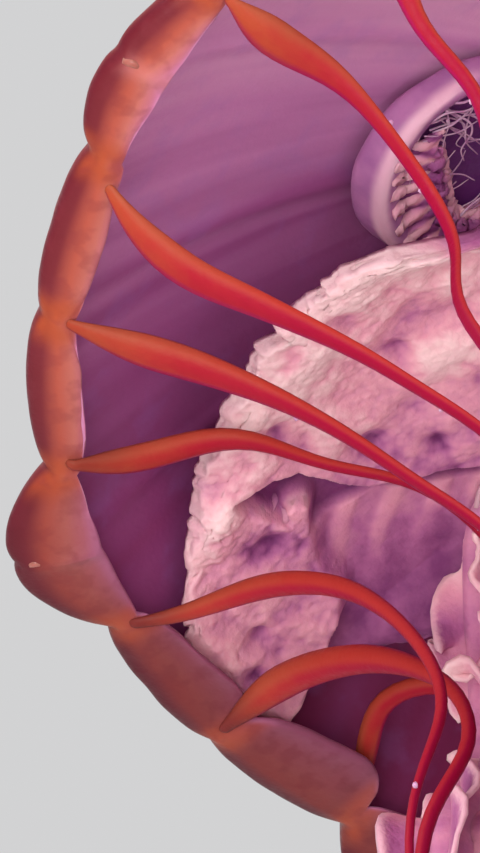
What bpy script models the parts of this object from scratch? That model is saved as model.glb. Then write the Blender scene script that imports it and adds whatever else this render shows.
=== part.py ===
"""Pacific sea nettle (Chrysaora fuscescens): a still, life-size model on a display stand.

The bell is banked, its apex leaning back and a little to the left, and the mouth side faces down
and forward. Places on the animal are bell coordinates: rho is the distance from the bell's axis
and depth the distance below the margin plane, towards the mouth, both in bell radii; azimuth is in
degrees round the axis, with 0 at a sense organ (rhopalium).
"""
import math

import bmesh
import bpy
from mathutils import Matrix, Vector

MM = 0.001

# The bell, in metres and degrees
BELL_RADIUS = 0.14
BELL_CENTRE = Vector((0.0, -0.03, 0.75))
BELL_TILT = 30.9
BELL_HEADING = 111.4
BELL_TURN = 60.8

# The bell's wall: part of a sphere, thick at the apex and thin at the margin, in bell radii
MARGIN_ANGLE = 46.0
INNER_RHO = 0.985
WALL_MARGIN = 0.020
WALL_APEX_EXTRA = 0.045
OUTER_ANGLES = (37.5, 29.0, 19.0, 9.5)
INNER_ANGLES = (39.0, 30.0, 20.0, 10.0)

# The margin: four lappets in each octant, a tentacle in each cleft except at the sense organ
OCTANTS = 8
OCTANT = 360.0 / OCTANTS
CLEFTS = (0.0, 8.0, 22.5, 37.0, OCTANT)
LAPPET_CELLS = (3, 4, 4, 3)
CLEFT_RHO = 0.967
LAPPET_REACH = 0.012
SMALL_LAPPET_SHARE = 0.6
SMALL_LAPPET_REACH = 0.4
CURL_AZIMUTH = -55.0
CURL_EXTRA = 0.14
SENSE_BULGE = 0.068
LAPPET_BULGE = 0.010

# Tentacles, each in two lengths; a root is (rho, depth), under the fold or in the pocket behind it,
# and some sit a few degrees to the side of their cleft
TENTACLES = 24
ROOT = (0.972, 0.0335)
POCKET_ROOTS = {21: (0.955, -0.012)}
ROOT_TURNS = {2: -2.0, 0: 1.0, 22: 0.8}
ROOT_HALF_WIDTH = 1.2 * MM
PEAK_HALF_WIDTH = 3.3 * MM
PEAK_AT = 18 * MM
SLENDER_SHARE = 0.38
TIP_HALF_WIDTH = 0.7 * MM
LOWEST_TIP = 0.067
TIP_SPREAD = 0.100
TENTACLE_FLATNESS = 0.55
LEAST_HALF_THICKNESS = 0.45 * MM
TENTACLE_SIDES = 6
UPPER_STEPS = 8
LOWER_STEPS = 6
TENTACLE_SPLIT = 0.42
TENTACLE_CROWDING = 1.4

# Oral arms, each in two lengths
ARMS = 4
FIRST_ARM_AZIMUTH = -22.5
ARM_ROOT_RHO = 0.13
ARM_SIDES = 10
ARM_STEPS = 8
ARM_SPLIT = 0.40
ARM_CROWDING = 1.15
STALK_HALF_WIDTH = 11 * MM
FULL_SHARE = 0.14
FREE_SHARE = 0.20
ARM_TIP_HALF_WIDTH = 4 * MM

# The stomach and its four pouches
MOUTH_DEPTH = -0.20
STOMACH_RHO = 0.22
POUCH_RHO = 0.59
POUCH_SQUARENESS = 0.35
WAIST_RHO = 0.30
NECK_RHO = 0.27
POUCH_THICKNESS = 0.040
POUCH_AZIMUTH = 26.0
STOMACH_SAMPLES = 24
CEILING_GAP = 0.010

# The display stand
BASE_RADIUS = 0.165
BASE_HEIGHT = 0.012
BASE_BEVEL = 0.002
ROD_RADIUS = 0.004
ROD_FOOT_Y = 0.135
ROD_BEND = 0.030
ROD_BEND_STEPS = 10
ROD_SIDES = 12
PAD_RADIUS = 0.011
PAD_HEIGHT = 0.004
CONTACT_ANGLE = 33.0

# How what hangs drifts in the current
DRIFT_X = 0.024
DRIFT_Y = 0.017
DRIFT_PHASE = 0.45
HANGING_STEPS = 5

GAP = 0.3 * MM

# How far each tentacle in the foreground runs in before it hangs: (rho, azimuth, depth)
INWARD_RUNS = {
    4: ((0.93, 66, 0.12), (0.91, 66, 0.24), (0.87, 68, 0.36), (0.85, 67, 0.52)),
    3: ((0.90, 52.7, 0.045), (0.82, 53.5, 0.07), (0.735, 53.7, 0.16), (0.70, 55, 0.30), (0.72, 55.3, 0.44),
        (0.67, 57.2, 0.62)),
    2: ((0.93, 33.7, 0.055), (0.867, 33, 0.11), (0.775, 34, 0.17), (0.635, 35.7, 0.27), (0.48, 37, 0.46)),
    1: ((0.90, 22, 0.05), (0.81, 22, 0.09), (0.70, 22, 0.16), (0.59, 22, 0.27), (0.46, 23, 0.48)),
    0: ((0.89, 7.2, 0.00), (0.765, 7.2, -0.01), (0.657, 7.3, 0.07), (0.54, 7.6, 0.15), (0.45, 7, 0.38)),
    23: ((0.91, -8.6, 0.03), (0.755, -5.5, 0.09), (0.644, -2.6, 0.20), (0.57, 0, 0.42), (0.64, 2, 0.68)),
    22: ((0.867, -20.3, 0.03), (0.743, -17.7, 0.095), (0.652, -15.7, 0.18), (0.588, -14.5, 0.28),
         (0.577, -13.5, 0.38), (0.66, -12, 0.54)),
    21: ((0.88, -34, -0.02), (0.82, -32, -0.03), (0.75, -34, -0.02), (0.71, -40, 0.02), (0.74, -49, 0.14)),
}
# Stoutness, the distance to the fullest place, and the length over which the swollen part thins out
TENTACLE_BUILD = {
    4: (1.0, 8 * MM, 15 * MM), 3: (1.08, 9 * MM, 14 * MM), 2: (1.05, 17 * MM, 24 * MM),
    1: (1.05, 16 * MM, 25 * MM), 0: (0.85, 13 * MM, 27 * MM), 23: (0.72, 30 * MM, 46 * MM),
    22: (1.06, 17 * MM, 40 * MM), 21: (0.68, 14 * MM, 40 * MM),
}
# Each arm leaves the mouth, spreads and then hangs; the first one billows out inside the bell
ARM_RUNS = (
    ((0.20, -21, -0.125), (0.32, -20, -0.12), (0.43, -21, -0.115), (0.54, -25, -0.10), (0.61, -31, -0.06),
     (0.66, -35, 0.00), (0.70, -37, 0.07), (0.73, -36, 0.17), (0.75, -32, 0.30)),
    ((0.20, 67, -0.10), (0.27, 67, 0.00), (0.30, 66, 0.22)),
    ((0.20, 157, -0.10), (0.30, 158, 0.00), (0.35, 160, 0.20)),
    ((0.20, 247, -0.10), (0.27, 247, 0.00), (0.30, 250, 0.20)),
)
ARM_HALF_WIDTHS = (14 * MM, 20 * MM, 22 * MM, 20 * MM)
ARM_TWIST = 80.0
EDGE_LOBES = 0.12
EDGE_RUFFLE = 0.25
BILLOW_HALF_WIDTH = 17 * MM
BILLOW_AT = 0.105
BILLOW_SPREAD = 0.030
ARM_TIP_HEIGHTS = (0.16, 0.10, 0.19, 0.13)


def bell_matrix():
    """Bell coordinates to the world: turn about the axis, bank, point the lean, then lift."""
    heading = Matrix.Rotation(math.radians(BELL_HEADING), 4, "Z")
    tilt = Matrix.Rotation(math.radians(BELL_TILT), 4, "Y")
    turn = Matrix.Rotation(math.radians(BELL_TURN), 4, "Z")
    return Matrix.Translation(BELL_CENTRE) @ heading @ tilt @ turn


def bell_point(rho, azimuth, depth):
    """A point in the bell's own frame, in metres."""
    angle = math.radians(azimuth)
    return Vector((rho * math.cos(angle), rho * math.sin(angle), -depth)) * BELL_RADIUS


def world_point(rho, azimuth, depth):
    return bell_matrix() @ bell_point(rho, azimuth, depth)


def tangent(azimuth):
    """The direction round the bell's axis at an azimuth, in the world."""
    angle = math.radians(azimuth)
    return bell_matrix().to_3x3() @ Vector((-math.sin(angle), math.cos(angle), 0.0))


def wobble(index, series=0):
    """A repeatable variation from -1 to 1, different for each index and series."""
    return math.sin(2.39996 * index * (series + 1) + 1.7 * series)


def smooth(value):
    value = min(max(value, 0.0), 1.0)
    return value * value * (3.0 - 2.0 * value)


def material(name, colour, roughness, metallic=0.0):
    found = bpy.data.materials.get(name)
    if found:
        return found
    made = bpy.data.materials.new(name)
    made.use_nodes = True
    shader = made.node_tree.nodes["Principled BSDF"]
    shader.inputs["Base Color"].default_value = (*colour, 1.0)
    shader.inputs["Roughness"].default_value = roughness
    shader.inputs["Metallic"].default_value = metallic
    return made


def bell_material():
    return material("bell_jelly", (0.50, 0.22, 0.28), 0.25)


def stomach_material():
    return material("stomach_jelly", (0.32, 0.14, 0.30), 0.3)


def tentacle_material():
    return material("tentacle_red", (0.55, 0.06, 0.07), 0.3)


def arm_material():
    return material("arm_frill", (0.62, 0.42, 0.52), 0.4)


def base_material():
    return material("stand_paint", (0.05, 0.05, 0.055), 0.45)


def rod_material():
    return material("stand_steel", (0.55, 0.55, 0.56), 0.3, 1.0)


def new_object(name, fill, surface, location=(0.0, 0.0, 0.0)):
    """Make one object; fill adds its faces to the bmesh it is given."""
    shape = bmesh.new()
    fill(shape)
    bmesh.ops.recalc_face_normals(shape, faces=shape.faces)
    mesh = bpy.data.meshes.new(name)
    shape.to_mesh(mesh)
    shape.free()
    mesh.shade_smooth()
    mesh.set_sharp_from_angle(angle=math.radians(50))
    made = bpy.data.objects.new(name, mesh)
    made.data.materials.append(surface)
    made.location = location
    bpy.context.scene.collection.objects.link(made)
    return made


def add_ring(shape, points):
    return [shape.verts.new(point) for point in points]


def bridge(shape, first, second):
    """Join two rings of equal count with quads."""
    count = len(first)
    for i in range(count):
        j = (i + 1) % count
        shape.faces.new((first[i], first[j], second[j], second[i]))


def bridge_to_half(shape, full, half):
    """Join a ring to one of half its count, three triangles for each pair."""
    count = len(full)
    for i in range(len(half)):
        a, b, c = full[2 * i], full[2 * i + 1], full[(2 * i + 2) % count]
        p, q = half[i], half[(i + 1) % len(half)]
        shape.faces.new((a, b, p))
        shape.faces.new((b, q, p))
        shape.faces.new((b, c, q))


def close_with_pole(shape, ring, pole):
    tip = shape.verts.new(pole)
    count = len(ring)
    for i in range(count):
        shape.faces.new((ring[i], ring[(i + 1) % count], tip))


# The bell

def sphere_radius():
    return INNER_RHO / math.sin(math.radians(MARGIN_ANGLE))


def wall_point(angle, outer):
    """(rho, height) on the wall at an angle from the axis, in bell radii."""
    share = angle / MARGIN_ANGLE
    thickness = WALL_MARGIN + WALL_APEX_EXTRA * (1.0 - share * share) if outer else 0.0
    radius = sphere_radius() + thickness
    drop = sphere_radius() * math.cos(math.radians(MARGIN_ANGLE))
    return radius * math.sin(math.radians(angle)), radius * math.cos(math.radians(angle)) - drop


def ceiling_height(rho):
    """Height of the bell's inner surface above the margin plane."""
    radius = sphere_radius()
    return math.sqrt(radius * radius - rho * rho) - radius * math.cos(math.radians(MARGIN_ANGLE))


def margin_azimuths():
    """Sample azimuths round the margin, a few for each lappet."""
    found = []
    for octant in range(OCTANTS):
        for lappet, cells in enumerate(LAPPET_CELLS):
            start, end = CLEFTS[lappet], CLEFTS[lappet + 1]
            for cell in range(cells):
                found.append(octant * OCTANT + start + (end - start) * cell / cells)
    return found


def lappet_share(azimuth):
    """0 in a cleft, 1 at the middle of a lappet, less at the small ones by a sense organ."""
    place = azimuth % OCTANT
    for start, end in zip(CLEFTS, CLEFTS[1:]):
        if start <= place <= end:
            across = 2.0 * (place - start) / (end - start) - 1.0
            size = SMALL_LAPPET_SHARE if start == 0.0 or end == OCTANT else 1.0
            return size * (1.0 - across ** 4)
    return 0.0


def from_sense_organ(azimuth):
    """Degrees to the nearest sense organ."""
    place = azimuth % OCTANT
    return min(place, OCTANT - place)


def lappet_reach(azimuth):
    """How far a lappet's free edge stands in; the ones on the low side curl in most."""
    curl = 1.0 + CURL_EXTRA * math.exp(4.0 * math.cos(math.radians(azimuth - CURL_AZIMUTH)))
    size = SMALL_LAPPET_REACH if from_sense_organ(azimuth) < CLEFTS[1] else 1.0
    return LAPPET_REACH * size * curl * lappet_share(azimuth)


def margin_bulge(azimuth):
    """How far the rim stands out: most at a sense organ, a little at each lappet."""
    fullness = max(0.15, 0.56 + 0.78 * math.cos(math.radians(azimuth - CURL_AZIMUTH)))
    swell = max(0.0, 1.0 - (from_sense_organ(azimuth) / CLEFTS[1]) ** 2)
    return SENSE_BULGE * fullness * swell + LAPPET_BULGE * lappet_share(azimuth)


def margin_section(azimuth):
    """(rho, height) points round the margin, from the outside to the pocket behind the lappet."""
    share = lappet_share(azimuth)
    bulge = margin_bulge(azimuth)
    edge = CLEFT_RHO - lappet_reach(azimuth)
    return (
        wall_point(42.0, True),
        (0.982 + 0.5 * bulge, 0.038),
        (1.000 + bulge, 0.010),
        (0.994 + bulge, -0.014),
        (0.980 - 0.030 * share + 0.4 * bulge, -0.026),
        (edge, -0.021),
        (edge + 0.003, -0.011),
        (0.975 - 0.015 * share, -0.006),
        (0.977, 0.010),
        wall_point(43.5, False),
    )


def make_bell(frame):
    azimuths = margin_azimuths()
    sections = [margin_section(azimuth) for azimuth in azimuths]

    def fill(shape):
        rings = []
        for row in range(len(sections[0])):
            rings.append(add_ring(shape, [
                bell_point(section[row][0], azimuth, -section[row][1])
                for azimuth, section in zip(azimuths, sections)]))
        for first, second in zip(rings, rings[1:]):
            bridge(shape, first, second)
        for start, angles, outer in ((rings[0], OUTER_ANGLES, True), (rings[-1], INNER_ANGLES, False)):
            halves = []
            for angle in angles:
                rho, height = wall_point(angle, outer)
                halves.append(add_ring(shape, [bell_point(rho, azimuth, -height)
                                               for azimuth in azimuths[::2]]))
            bridge_to_half(shape, start, halves[0])
            for first, second in zip(halves, halves[1:]):
                bridge(shape, first, second)
            close_with_pole(shape, halves[-1], bell_point(0.0, 0.0, -wall_point(0.0, outer)[1]))

    made = new_object("bell", fill, bell_material())
    made.parent = frame
    return made


# The stomach

def pouch_rho(azimuth):
    """The stomach's outline: four pouches that lie against the bell's ceiling."""
    lobe = max(0.0, math.cos(math.radians(4.0 * (azimuth - POUCH_AZIMUTH))))
    return WAIST_RHO + (POUCH_RHO - WAIST_RHO) * lobe ** POUCH_SQUARENESS


def stomach_section(azimuth):
    """(rho, height) points from the ceiling round the pouch to the flat underside of the mouth."""
    outline = pouch_rho(azimuth)
    points = []
    for share in (0.33, 0.66, 0.92):
        rho = outline * share
        points.append((rho, ceiling_height(rho) - CEILING_GAP))
    ceiling = ceiling_height(outline) - CEILING_GAP
    points.append((outline, ceiling - 0.4 * POUCH_THICKNESS))
    points.append((0.88 * outline, ceiling - POUCH_THICKNESS))
    points.append((NECK_RHO, ceiling_height(NECK_RHO) - 1.7 * POUCH_THICKNESS))
    points.append((STOMACH_RHO, -MOUTH_DEPTH + 0.02))
    points.append((STOMACH_RHO - 0.015, -MOUTH_DEPTH))
    return points


def make_stomach(frame):
    azimuths = [360.0 * i / STOMACH_SAMPLES + POUCH_AZIMUTH for i in range(STOMACH_SAMPLES)]
    sections = [stomach_section(azimuth) for azimuth in azimuths]

    def fill(shape):
        rings = []
        for row in range(len(sections[0])):
            rings.append(add_ring(shape, [
                bell_point(section[row][0], azimuth, -section[row][1])
                for azimuth, section in zip(azimuths, sections)]))
        for first, second in zip(rings, rings[1:]):
            bridge(shape, first, second)
        close_with_pole(shape, rings[0], bell_point(0.0, 0.0, CEILING_GAP - ceiling_height(0.0)))
        shape.faces.new(rings[-1])

    made = new_object("manubrium", fill, stomach_material())
    made.parent = frame
    return made


# Long bent parts

def catmull_rom(points, samples_per_span=16):
    """A smooth line through the points, densely sampled."""
    first = points[0] * 2.0 - points[1]
    last = points[-1] * 2.0 - points[-2]
    padded = [first, *points, last]
    line = []
    for i in range(1, len(padded) - 2):
        a, b, c, d = padded[i - 1:i + 3]
        t0 = 0.0
        t1 = t0 + math.sqrt((b - a).length)
        t2 = t1 + math.sqrt((c - b).length)
        t3 = t2 + math.sqrt((d - c).length)
        for step in range(samples_per_span):
            t = t1 + (t2 - t1) * step / samples_per_span
            ab = a.lerp(b, (t - t0) / (t1 - t0))
            bc = b.lerp(c, (t - t1) / (t2 - t1))
            cd = c.lerp(d, (t - t2) / (t3 - t2))
            abc = ab.lerp(bc, (t - t0) / (t2 - t0))
            bcd = bc.lerp(cd, (t - t1) / (t3 - t1))
            line.append(abc.lerp(bcd, (t - t1) / (t2 - t1)))
    line.append(points[-1].copy())
    return line


def running_lengths(line):
    lengths = [0.0]
    for first, second in zip(line, line[1:]):
        lengths.append(lengths[-1] + (second - first).length)
    return lengths


def point_at(line, lengths, distance):
    """The point and the direction at a distance along a line."""
    index = 0
    while index < len(lengths) - 2 and lengths[index + 1] < distance:
        index += 1
    span = lengths[index + 1] - lengths[index]
    share = (distance - lengths[index]) / span
    before = line[max(index - 1, 0)]
    after = line[min(index + 2, len(line) - 1)]
    return line[index].lerp(line[index + 1], share), (after - before).normalized()


def frames_along(line, distances, across, twist=0.0):
    """(point, direction, width axis, distance) at each distance, the width axis carried along.

    Past the first quarter of the line the width axis also turns by the twist, in degrees.
    """
    lengths = running_lengths(line)
    frames = []
    for distance in distances:
        point, direction = point_at(line, lengths, distance)
        across = (across - direction * across.dot(direction)).normalized()
        turned = smooth((distance / lengths[-1] - 0.25) / 0.75) * math.radians(twist)
        width_axis = across * math.cos(turned) + direction.cross(across) * math.sin(turned)
        frames.append((point, direction, width_axis, distance))
    return frames


def section_ring(frame, half_width, half_thickness, sides, ruffle=0.0):
    """A flattened round section; ruffle lifts one edge and lowers the other."""
    point, direction, across, _ = frame
    normal = direction.cross(across)
    ring = []
    for side in range(sides):
        angle = 2.0 * math.pi * side / sides
        x = half_width * math.cos(angle)
        y = half_thickness * math.sin(angle) + ruffle * math.cos(angle)
        ring.append(point + across * x + normal * y)
    return ring


def make_length(name, rings, surface):
    """One closed length of a long part, its origin at the middle of its first section."""
    origin = sum(rings[0], Vector()) / len(rings[0])

    def fill(shape):
        made = [add_ring(shape, [point - origin for point in ring]) for ring in rings]
        for first, second in zip(made, made[1:]):
            bridge(shape, first, second)
        shape.faces.new(made[0])
        shape.faces.new(made[-1])

    return new_object(name, fill, surface, origin)


def split_distances(total, middle, upper_steps, lower_steps, crowding):
    """Section distances of the upper and the lower length, closer together near the root."""
    upper = [(middle - GAP / 2) * (i / upper_steps) ** crowding for i in range(upper_steps + 1)]
    start = middle + GAP / 2
    lower = [start + (total - start) * i / lower_steps for i in range(lower_steps + 1)]
    return upper, lower


def drift(share, phase):
    """The gentle S that the current gives all that hangs, in metres; phase sets them slightly apart."""
    waves = 2.0 * math.pi * share
    ahead = DRIFT_X * math.sin(0.85 * waves + phase) - DRIFT_X * math.sin(phase)
    aside = DRIFT_Y * math.sin(1.10 * waves + phase) - DRIFT_Y * math.sin(phase)
    return Vector((ahead, aside, 0.0))


def hanging_points(start, tip_height, lean):
    """Points from the start down to the tip, with the shared drift and the part's own lean."""
    outward = Vector((start.x - BELL_CENTRE.x, start.y - BELL_CENTRE.y, 0.0)).normalized()
    phase = DRIFT_PHASE * outward.x
    points = []
    for step in range(1, HANGING_STEPS + 1):
        share = step / HANGING_STEPS
        point = start + drift(share, phase) + outward * lean * share
        point.z = start.z + (tip_height - start.z) * share
        points.append(point)
    return points


# Tentacles

def tentacle_azimuth(index):
    return OCTANT * (index // 3) + CLEFTS[1 + index % 3]


def inward_run(index):
    """Where a tentacle runs before it hangs; the rule for the ones without a run of their own."""
    if index in INWARD_RUNS:
        return INWARD_RUNS[index]
    azimuth = tentacle_azimuth(index)
    reach = 0.70 + 0.05 * wobble(index)
    swing = 3.0 * wobble(index, 1)
    sink = 0.03 * wobble(index, 2)
    return (
        (0.89, azimuth + 0.3 * swing, 0.05),
        (0.79, azimuth + 0.7 * swing, 0.10 + sink),
        (reach, azimuth + swing, 0.24 + sink),
    )


def tentacle_line(index):
    """From the cleft in the margin, in over the bell's mouth, then down."""
    azimuth = tentacle_azimuth(index)
    rho, depth = POCKET_ROOTS.get(index, ROOT)
    points = [world_point(rho, azimuth + ROOT_TURNS.get(index, 0.0), depth)]
    points += [world_point(*place) for place in inward_run(index)]
    tip_height = LOWEST_TIP + TIP_SPREAD * (1.0 + wobble(index, 3)) / 2.0
    points += hanging_points(points[-1], tip_height, 0.012 + 0.008 * wobble(index, 4))
    return catmull_rom(points)


def tentacle_half_width(index, distance, total):
    """Narrow at the root, swollen just after it, then a long taper."""
    ordinary = (0.8 + 0.15 * wobble(index, 5), PEAK_AT, 45 * MM)
    stoutness, peak_at, thinning = TENTACLE_BUILD.get(index, ordinary)
    peak = PEAK_HALF_WIDTH * stoutness
    if distance < peak_at:
        return ROOT_HALF_WIDTH + (peak - ROOT_HALF_WIDTH) * smooth((distance / peak_at) ** 0.7)
    slender = TIP_HALF_WIDTH + (SLENDER_SHARE * peak - TIP_HALF_WIDTH) * (1.0 - distance / total)
    return slender + (peak - slender) * math.exp(-((distance - peak_at) / thinning) ** 2)


def make_tentacle(index):
    line = tentacle_line(index)
    total = running_lengths(line)[-1]
    split = TENTACLE_SPLIT * total
    upper, lower = split_distances(total, split, UPPER_STEPS, LOWER_STEPS, TENTACLE_CROWDING)
    frames = frames_along(line, upper + lower, tangent(tentacle_azimuth(index)))
    rings = []
    for frame in frames:
        half_width = tentacle_half_width(index, frame[3], total)
        half_thickness = max(TENTACLE_FLATNESS * half_width, LEAST_HALF_THICKNESS)
        rings.append(section_ring(frame, half_width, half_thickness, TENTACLE_SIDES))
    name = f"tentacle_{index + 1:02d}"
    make_length(f"{name}_upper", rings[:len(upper)], tentacle_material())
    make_length(f"{name}_lower", rings[len(upper):], tentacle_material())


# Oral arms

def arm_azimuth(index):
    return FIRST_ARM_AZIMUTH + index * 360.0 / ARMS


def arm_line(index):
    """From the mouth, out under the stomach, then down."""
    azimuth = arm_azimuth(index)
    root_depth = MOUTH_DEPTH + GAP / BELL_RADIUS
    points = [world_point(ARM_ROOT_RHO, azimuth, root_depth)]
    points.append(world_point(ARM_ROOT_RHO, azimuth, root_depth + 0.03))
    points += [world_point(*place) for place in ARM_RUNS[index]]
    points += hanging_points(points[-1], ARM_TIP_HEIGHTS[index], 0.010)
    return catmull_rom(points)


def arm_half_width(index, share):
    """A short stalk, a full frill, then a long taper; the first arm billows out near its root."""
    full = ARM_HALF_WIDTHS[index]
    if share < FULL_SHARE:
        width = STALK_HALF_WIDTH + (full - STALK_HALF_WIDTH) * smooth(share / FULL_SHARE)
    else:
        taper = 1.0 - smooth((share - FULL_SHARE) / (1.0 - FULL_SHARE))
        width = ARM_TIP_HALF_WIDTH + (full - ARM_TIP_HALF_WIDTH) * taper ** 0.8
    if index == 0:
        width += BILLOW_HALF_WIDTH * math.exp(-((share - BILLOW_AT) / BILLOW_SPREAD) ** 2)
    return width


def make_arm(index):
    line = arm_line(index)
    total = running_lengths(line)[-1]
    upper, lower = split_distances(total, ARM_SPLIT * total, ARM_STEPS, ARM_STEPS, ARM_CROWDING)
    frames = frames_along(line, upper + lower, tangent(arm_azimuth(index)), ARM_TWIST)
    rings = []
    for step, frame in enumerate(frames):
        share = frame[3] / total
        free = smooth((share - FREE_SHARE) / 0.08)
        beat = (-1) ** step * free
        half_width = arm_half_width(index, share) * (1.0 + EDGE_LOBES * beat)
        half_thickness = 3.0 * MM + 0.10 * half_width
        ruffle = EDGE_RUFFLE * half_width * beat
        rings.append(section_ring(frame, half_width, half_thickness, ARM_SIDES, ruffle))
    make_length(f"arm_{index + 1}_upper", rings[:len(upper)], arm_material())
    make_length(f"arm_{index + 1}_lower", rings[len(upper):], arm_material())


# The stand

def rod_contact():
    """Where the rod's pad meets the bell's back, and the direction out of the bell there."""
    back = bell_matrix().inverted().to_3x3() @ Vector((0.0, 1.0, 0.0))
    azimuth = math.degrees(math.atan2(back.y, back.x))
    rho, height = wall_point(CONTACT_ANGLE, True)
    surface = world_point(rho, azimuth, -height)
    slope = math.radians(CONTACT_ANGLE)
    beyond = world_point(rho + math.sin(slope), azimuth, -height - math.cos(slope))
    return surface, (beyond - surface).normalized()


def rod_line(pad_face, outward):
    """Straight up from the base, round a swan neck, and down onto the bell's back."""
    level = Vector((outward.x, outward.y, 0.0)).normalized()
    up = Vector((0.0, 0.0, 1.0))
    slope = math.asin(outward.z)
    turn = math.pi / 2 + slope
    run = (ROD_FOOT_Y - pad_face.y) / level.y
    straight = (run - ROD_BEND * (1.0 - math.cos(turn))) / math.cos(slope)
    bend_height = pad_face.z + straight * math.sin(slope) - ROD_BEND * math.sin(turn)
    foot = pad_face + level * run
    foot.z = BASE_HEIGHT + GAP
    line = [foot, foot + up * 0.25 * bend_height, foot + up * 0.6 * bend_height]
    for step in range(ROD_BEND_STEPS + 1):
        angle = turn * step / ROD_BEND_STEPS
        point = foot + level * ROD_BEND * (math.cos(angle) - 1.0)
        point.z = bend_height + ROD_BEND * math.sin(angle)
        line.append(point)
    line.append(pad_face + outward * PAD_HEIGHT)
    return line


def make_rod():
    surface, outward = rod_contact()
    pad_face = surface + outward * 3.0 * GAP
    line = rod_line(pad_face, outward)
    sideways = outward.cross(Vector((0.0, 0.0, 1.0))).normalized()
    rings = []
    for index, point in enumerate(line):
        before = line[max(index - 1, 0)]
        after = line[min(index + 1, len(line) - 1)]
        frame = (point, (after - before).normalized(), sideways, 0.0)
        rings.append(section_ring(frame, ROD_RADIUS, ROD_RADIUS, ROD_SIDES))
    for distance in (PAD_HEIGHT - 0.1 * MM, 0.0):
        frame = (pad_face + outward * distance, -outward, sideways, 0.0)
        rings.append(section_ring(frame, PAD_RADIUS, PAD_RADIUS, ROD_SIDES))
    return make_length("stand_rod", rings, rod_material())


def make_base():
    def fill(shape):
        bmesh.ops.create_cone(shape, cap_ends=True, segments=40, radius1=BASE_RADIUS,
                              radius2=BASE_RADIUS, depth=BASE_HEIGHT)
        top_rim = [edge for edge in shape.edges if all(vert.co.z > 0 for vert in edge.verts)]
        bmesh.ops.bevel(shape, geom=top_rim, offset=BASE_BEVEL, segments=1, affect="EDGES")

    return new_object("stand_base", fill, base_material(), (0.0, 0.0, BASE_HEIGHT / 2))


def main():
    for old in list(bpy.data.objects):
        bpy.data.objects.remove(old)
    frame = bpy.data.objects.new("bell_frame", None)
    frame.matrix_world = bell_matrix()
    bpy.context.scene.collection.objects.link(frame)
    make_bell(frame)
    make_stomach(frame)
    for index in range(TENTACLES):
        make_tentacle(index)
    for index in range(ARMS):
        make_arm(index)
    make_base()
    make_rod()


main()
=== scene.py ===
"""Looks of the Pacific sea nettle model: its skin, frills, threads, finishes, stage and camera.

The pose comes from the same bell coordinates as the solids: rho is the distance from the bell's
axis and depth the distance below the margin plane, both in bell radii, and azimuth is in degrees
round the axis with 0 at a sense organ (rhopalium). Arrays of points have rows and columns: a row is
one closed section, so the columns of a row join end to start.
"""

import functools
import itertools
import math

import bpy
import numpy as np
from mathutils import Matrix, Vector

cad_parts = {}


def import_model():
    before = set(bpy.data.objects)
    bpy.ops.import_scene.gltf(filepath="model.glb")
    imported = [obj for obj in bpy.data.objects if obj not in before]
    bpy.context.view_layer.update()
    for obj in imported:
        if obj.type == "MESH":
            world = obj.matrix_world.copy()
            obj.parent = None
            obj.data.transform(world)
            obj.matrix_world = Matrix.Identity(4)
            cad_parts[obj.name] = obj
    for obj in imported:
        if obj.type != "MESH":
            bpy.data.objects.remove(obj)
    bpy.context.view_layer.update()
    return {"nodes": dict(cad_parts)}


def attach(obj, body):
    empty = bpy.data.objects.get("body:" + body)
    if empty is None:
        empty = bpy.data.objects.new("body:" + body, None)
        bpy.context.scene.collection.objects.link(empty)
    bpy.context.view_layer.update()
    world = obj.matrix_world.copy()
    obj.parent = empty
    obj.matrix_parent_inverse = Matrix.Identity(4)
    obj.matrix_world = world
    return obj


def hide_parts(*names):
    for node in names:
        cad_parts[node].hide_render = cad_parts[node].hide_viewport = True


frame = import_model()
MM = 0.001

# The bell, in metres and degrees
BELL_RADIUS = 0.14
BELL_CENTRE = np.array((0.0, -0.03, 0.75))
BELL_TILT = 30.9
BELL_HEADING = 111.4
BELL_TURN = 60.8

# The bell's wall: part of a sphere, thick at the apex and thin at the margin, in bell radii
MARGIN_ANGLE = 46.0
INNER_RHO = 0.985
WALL_MARGIN = 0.020
WALL_APEX_EXTRA = 0.045
OUTER_START, INNER_START = 42.0, 43.5
BELL_AZIMUTHS = 900
OUTER_ROWS, INNER_ROWS, SPAN_ROWS = 13, 20, 5
SEPTA = 16

# The margin: four lappets in each octant, a tentacle in each cleft except at the sense organ
OCTANTS = 8
OCTANT = 360.0 / OCTANTS
CLEFTS = (0.0, 8.0, 22.5, 37.0, OCTANT)
CLEFT_RHO = 0.967
LAPPET_REACH = 0.012
SMALL_LAPPET_SHARE = 0.6
SMALL_LAPPET_REACH = 0.4
CURL_AZIMUTH = -55.0
CURL_EXTRA = 0.14
CLEFT_FILL = 0.45
SENSE_BULGE = 0.068
LAPPET_BULGE = 0.010

# Tentacles; a root is (rho, depth), under the fold or in the pocket behind it, and starts in the flesh
TENTACLES = 24
ROOT = (0.964, 0.026)
IN_FLESH = ((0.987, 0.003), (0.976, 0.014))
POCKET_ROOTS = {21: (0.955, -0.012)}
ROOT_TURNS = {2: -2.0, 0: 1.0, 22: 0.8}
IN_POCKET_WALL = ((0.990, -0.002), (0.975, -0.008))
ROOT_HALF_WIDTH = 1.2 * MM
PEAK_HALF_WIDTH = 3.3 * MM
PEAK_AT = 18 * MM
SLENDER_SHARE = 0.38
TIP_HALF_WIDTH = 0.7 * MM
LOWEST_TIP = 0.067
TIP_SPREAD = 0.100
TENTACLE_FLATNESS = 0.55
LOW_SIDE_FLATNESS = 0.85
LEAST_HALF_THICKNESS = 0.45 * MM
TENTACLE_SIDES = 10
TENTACLE_ROWS = 150
ROOT_ROWS = 8
EASING_PASSES = 24

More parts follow.
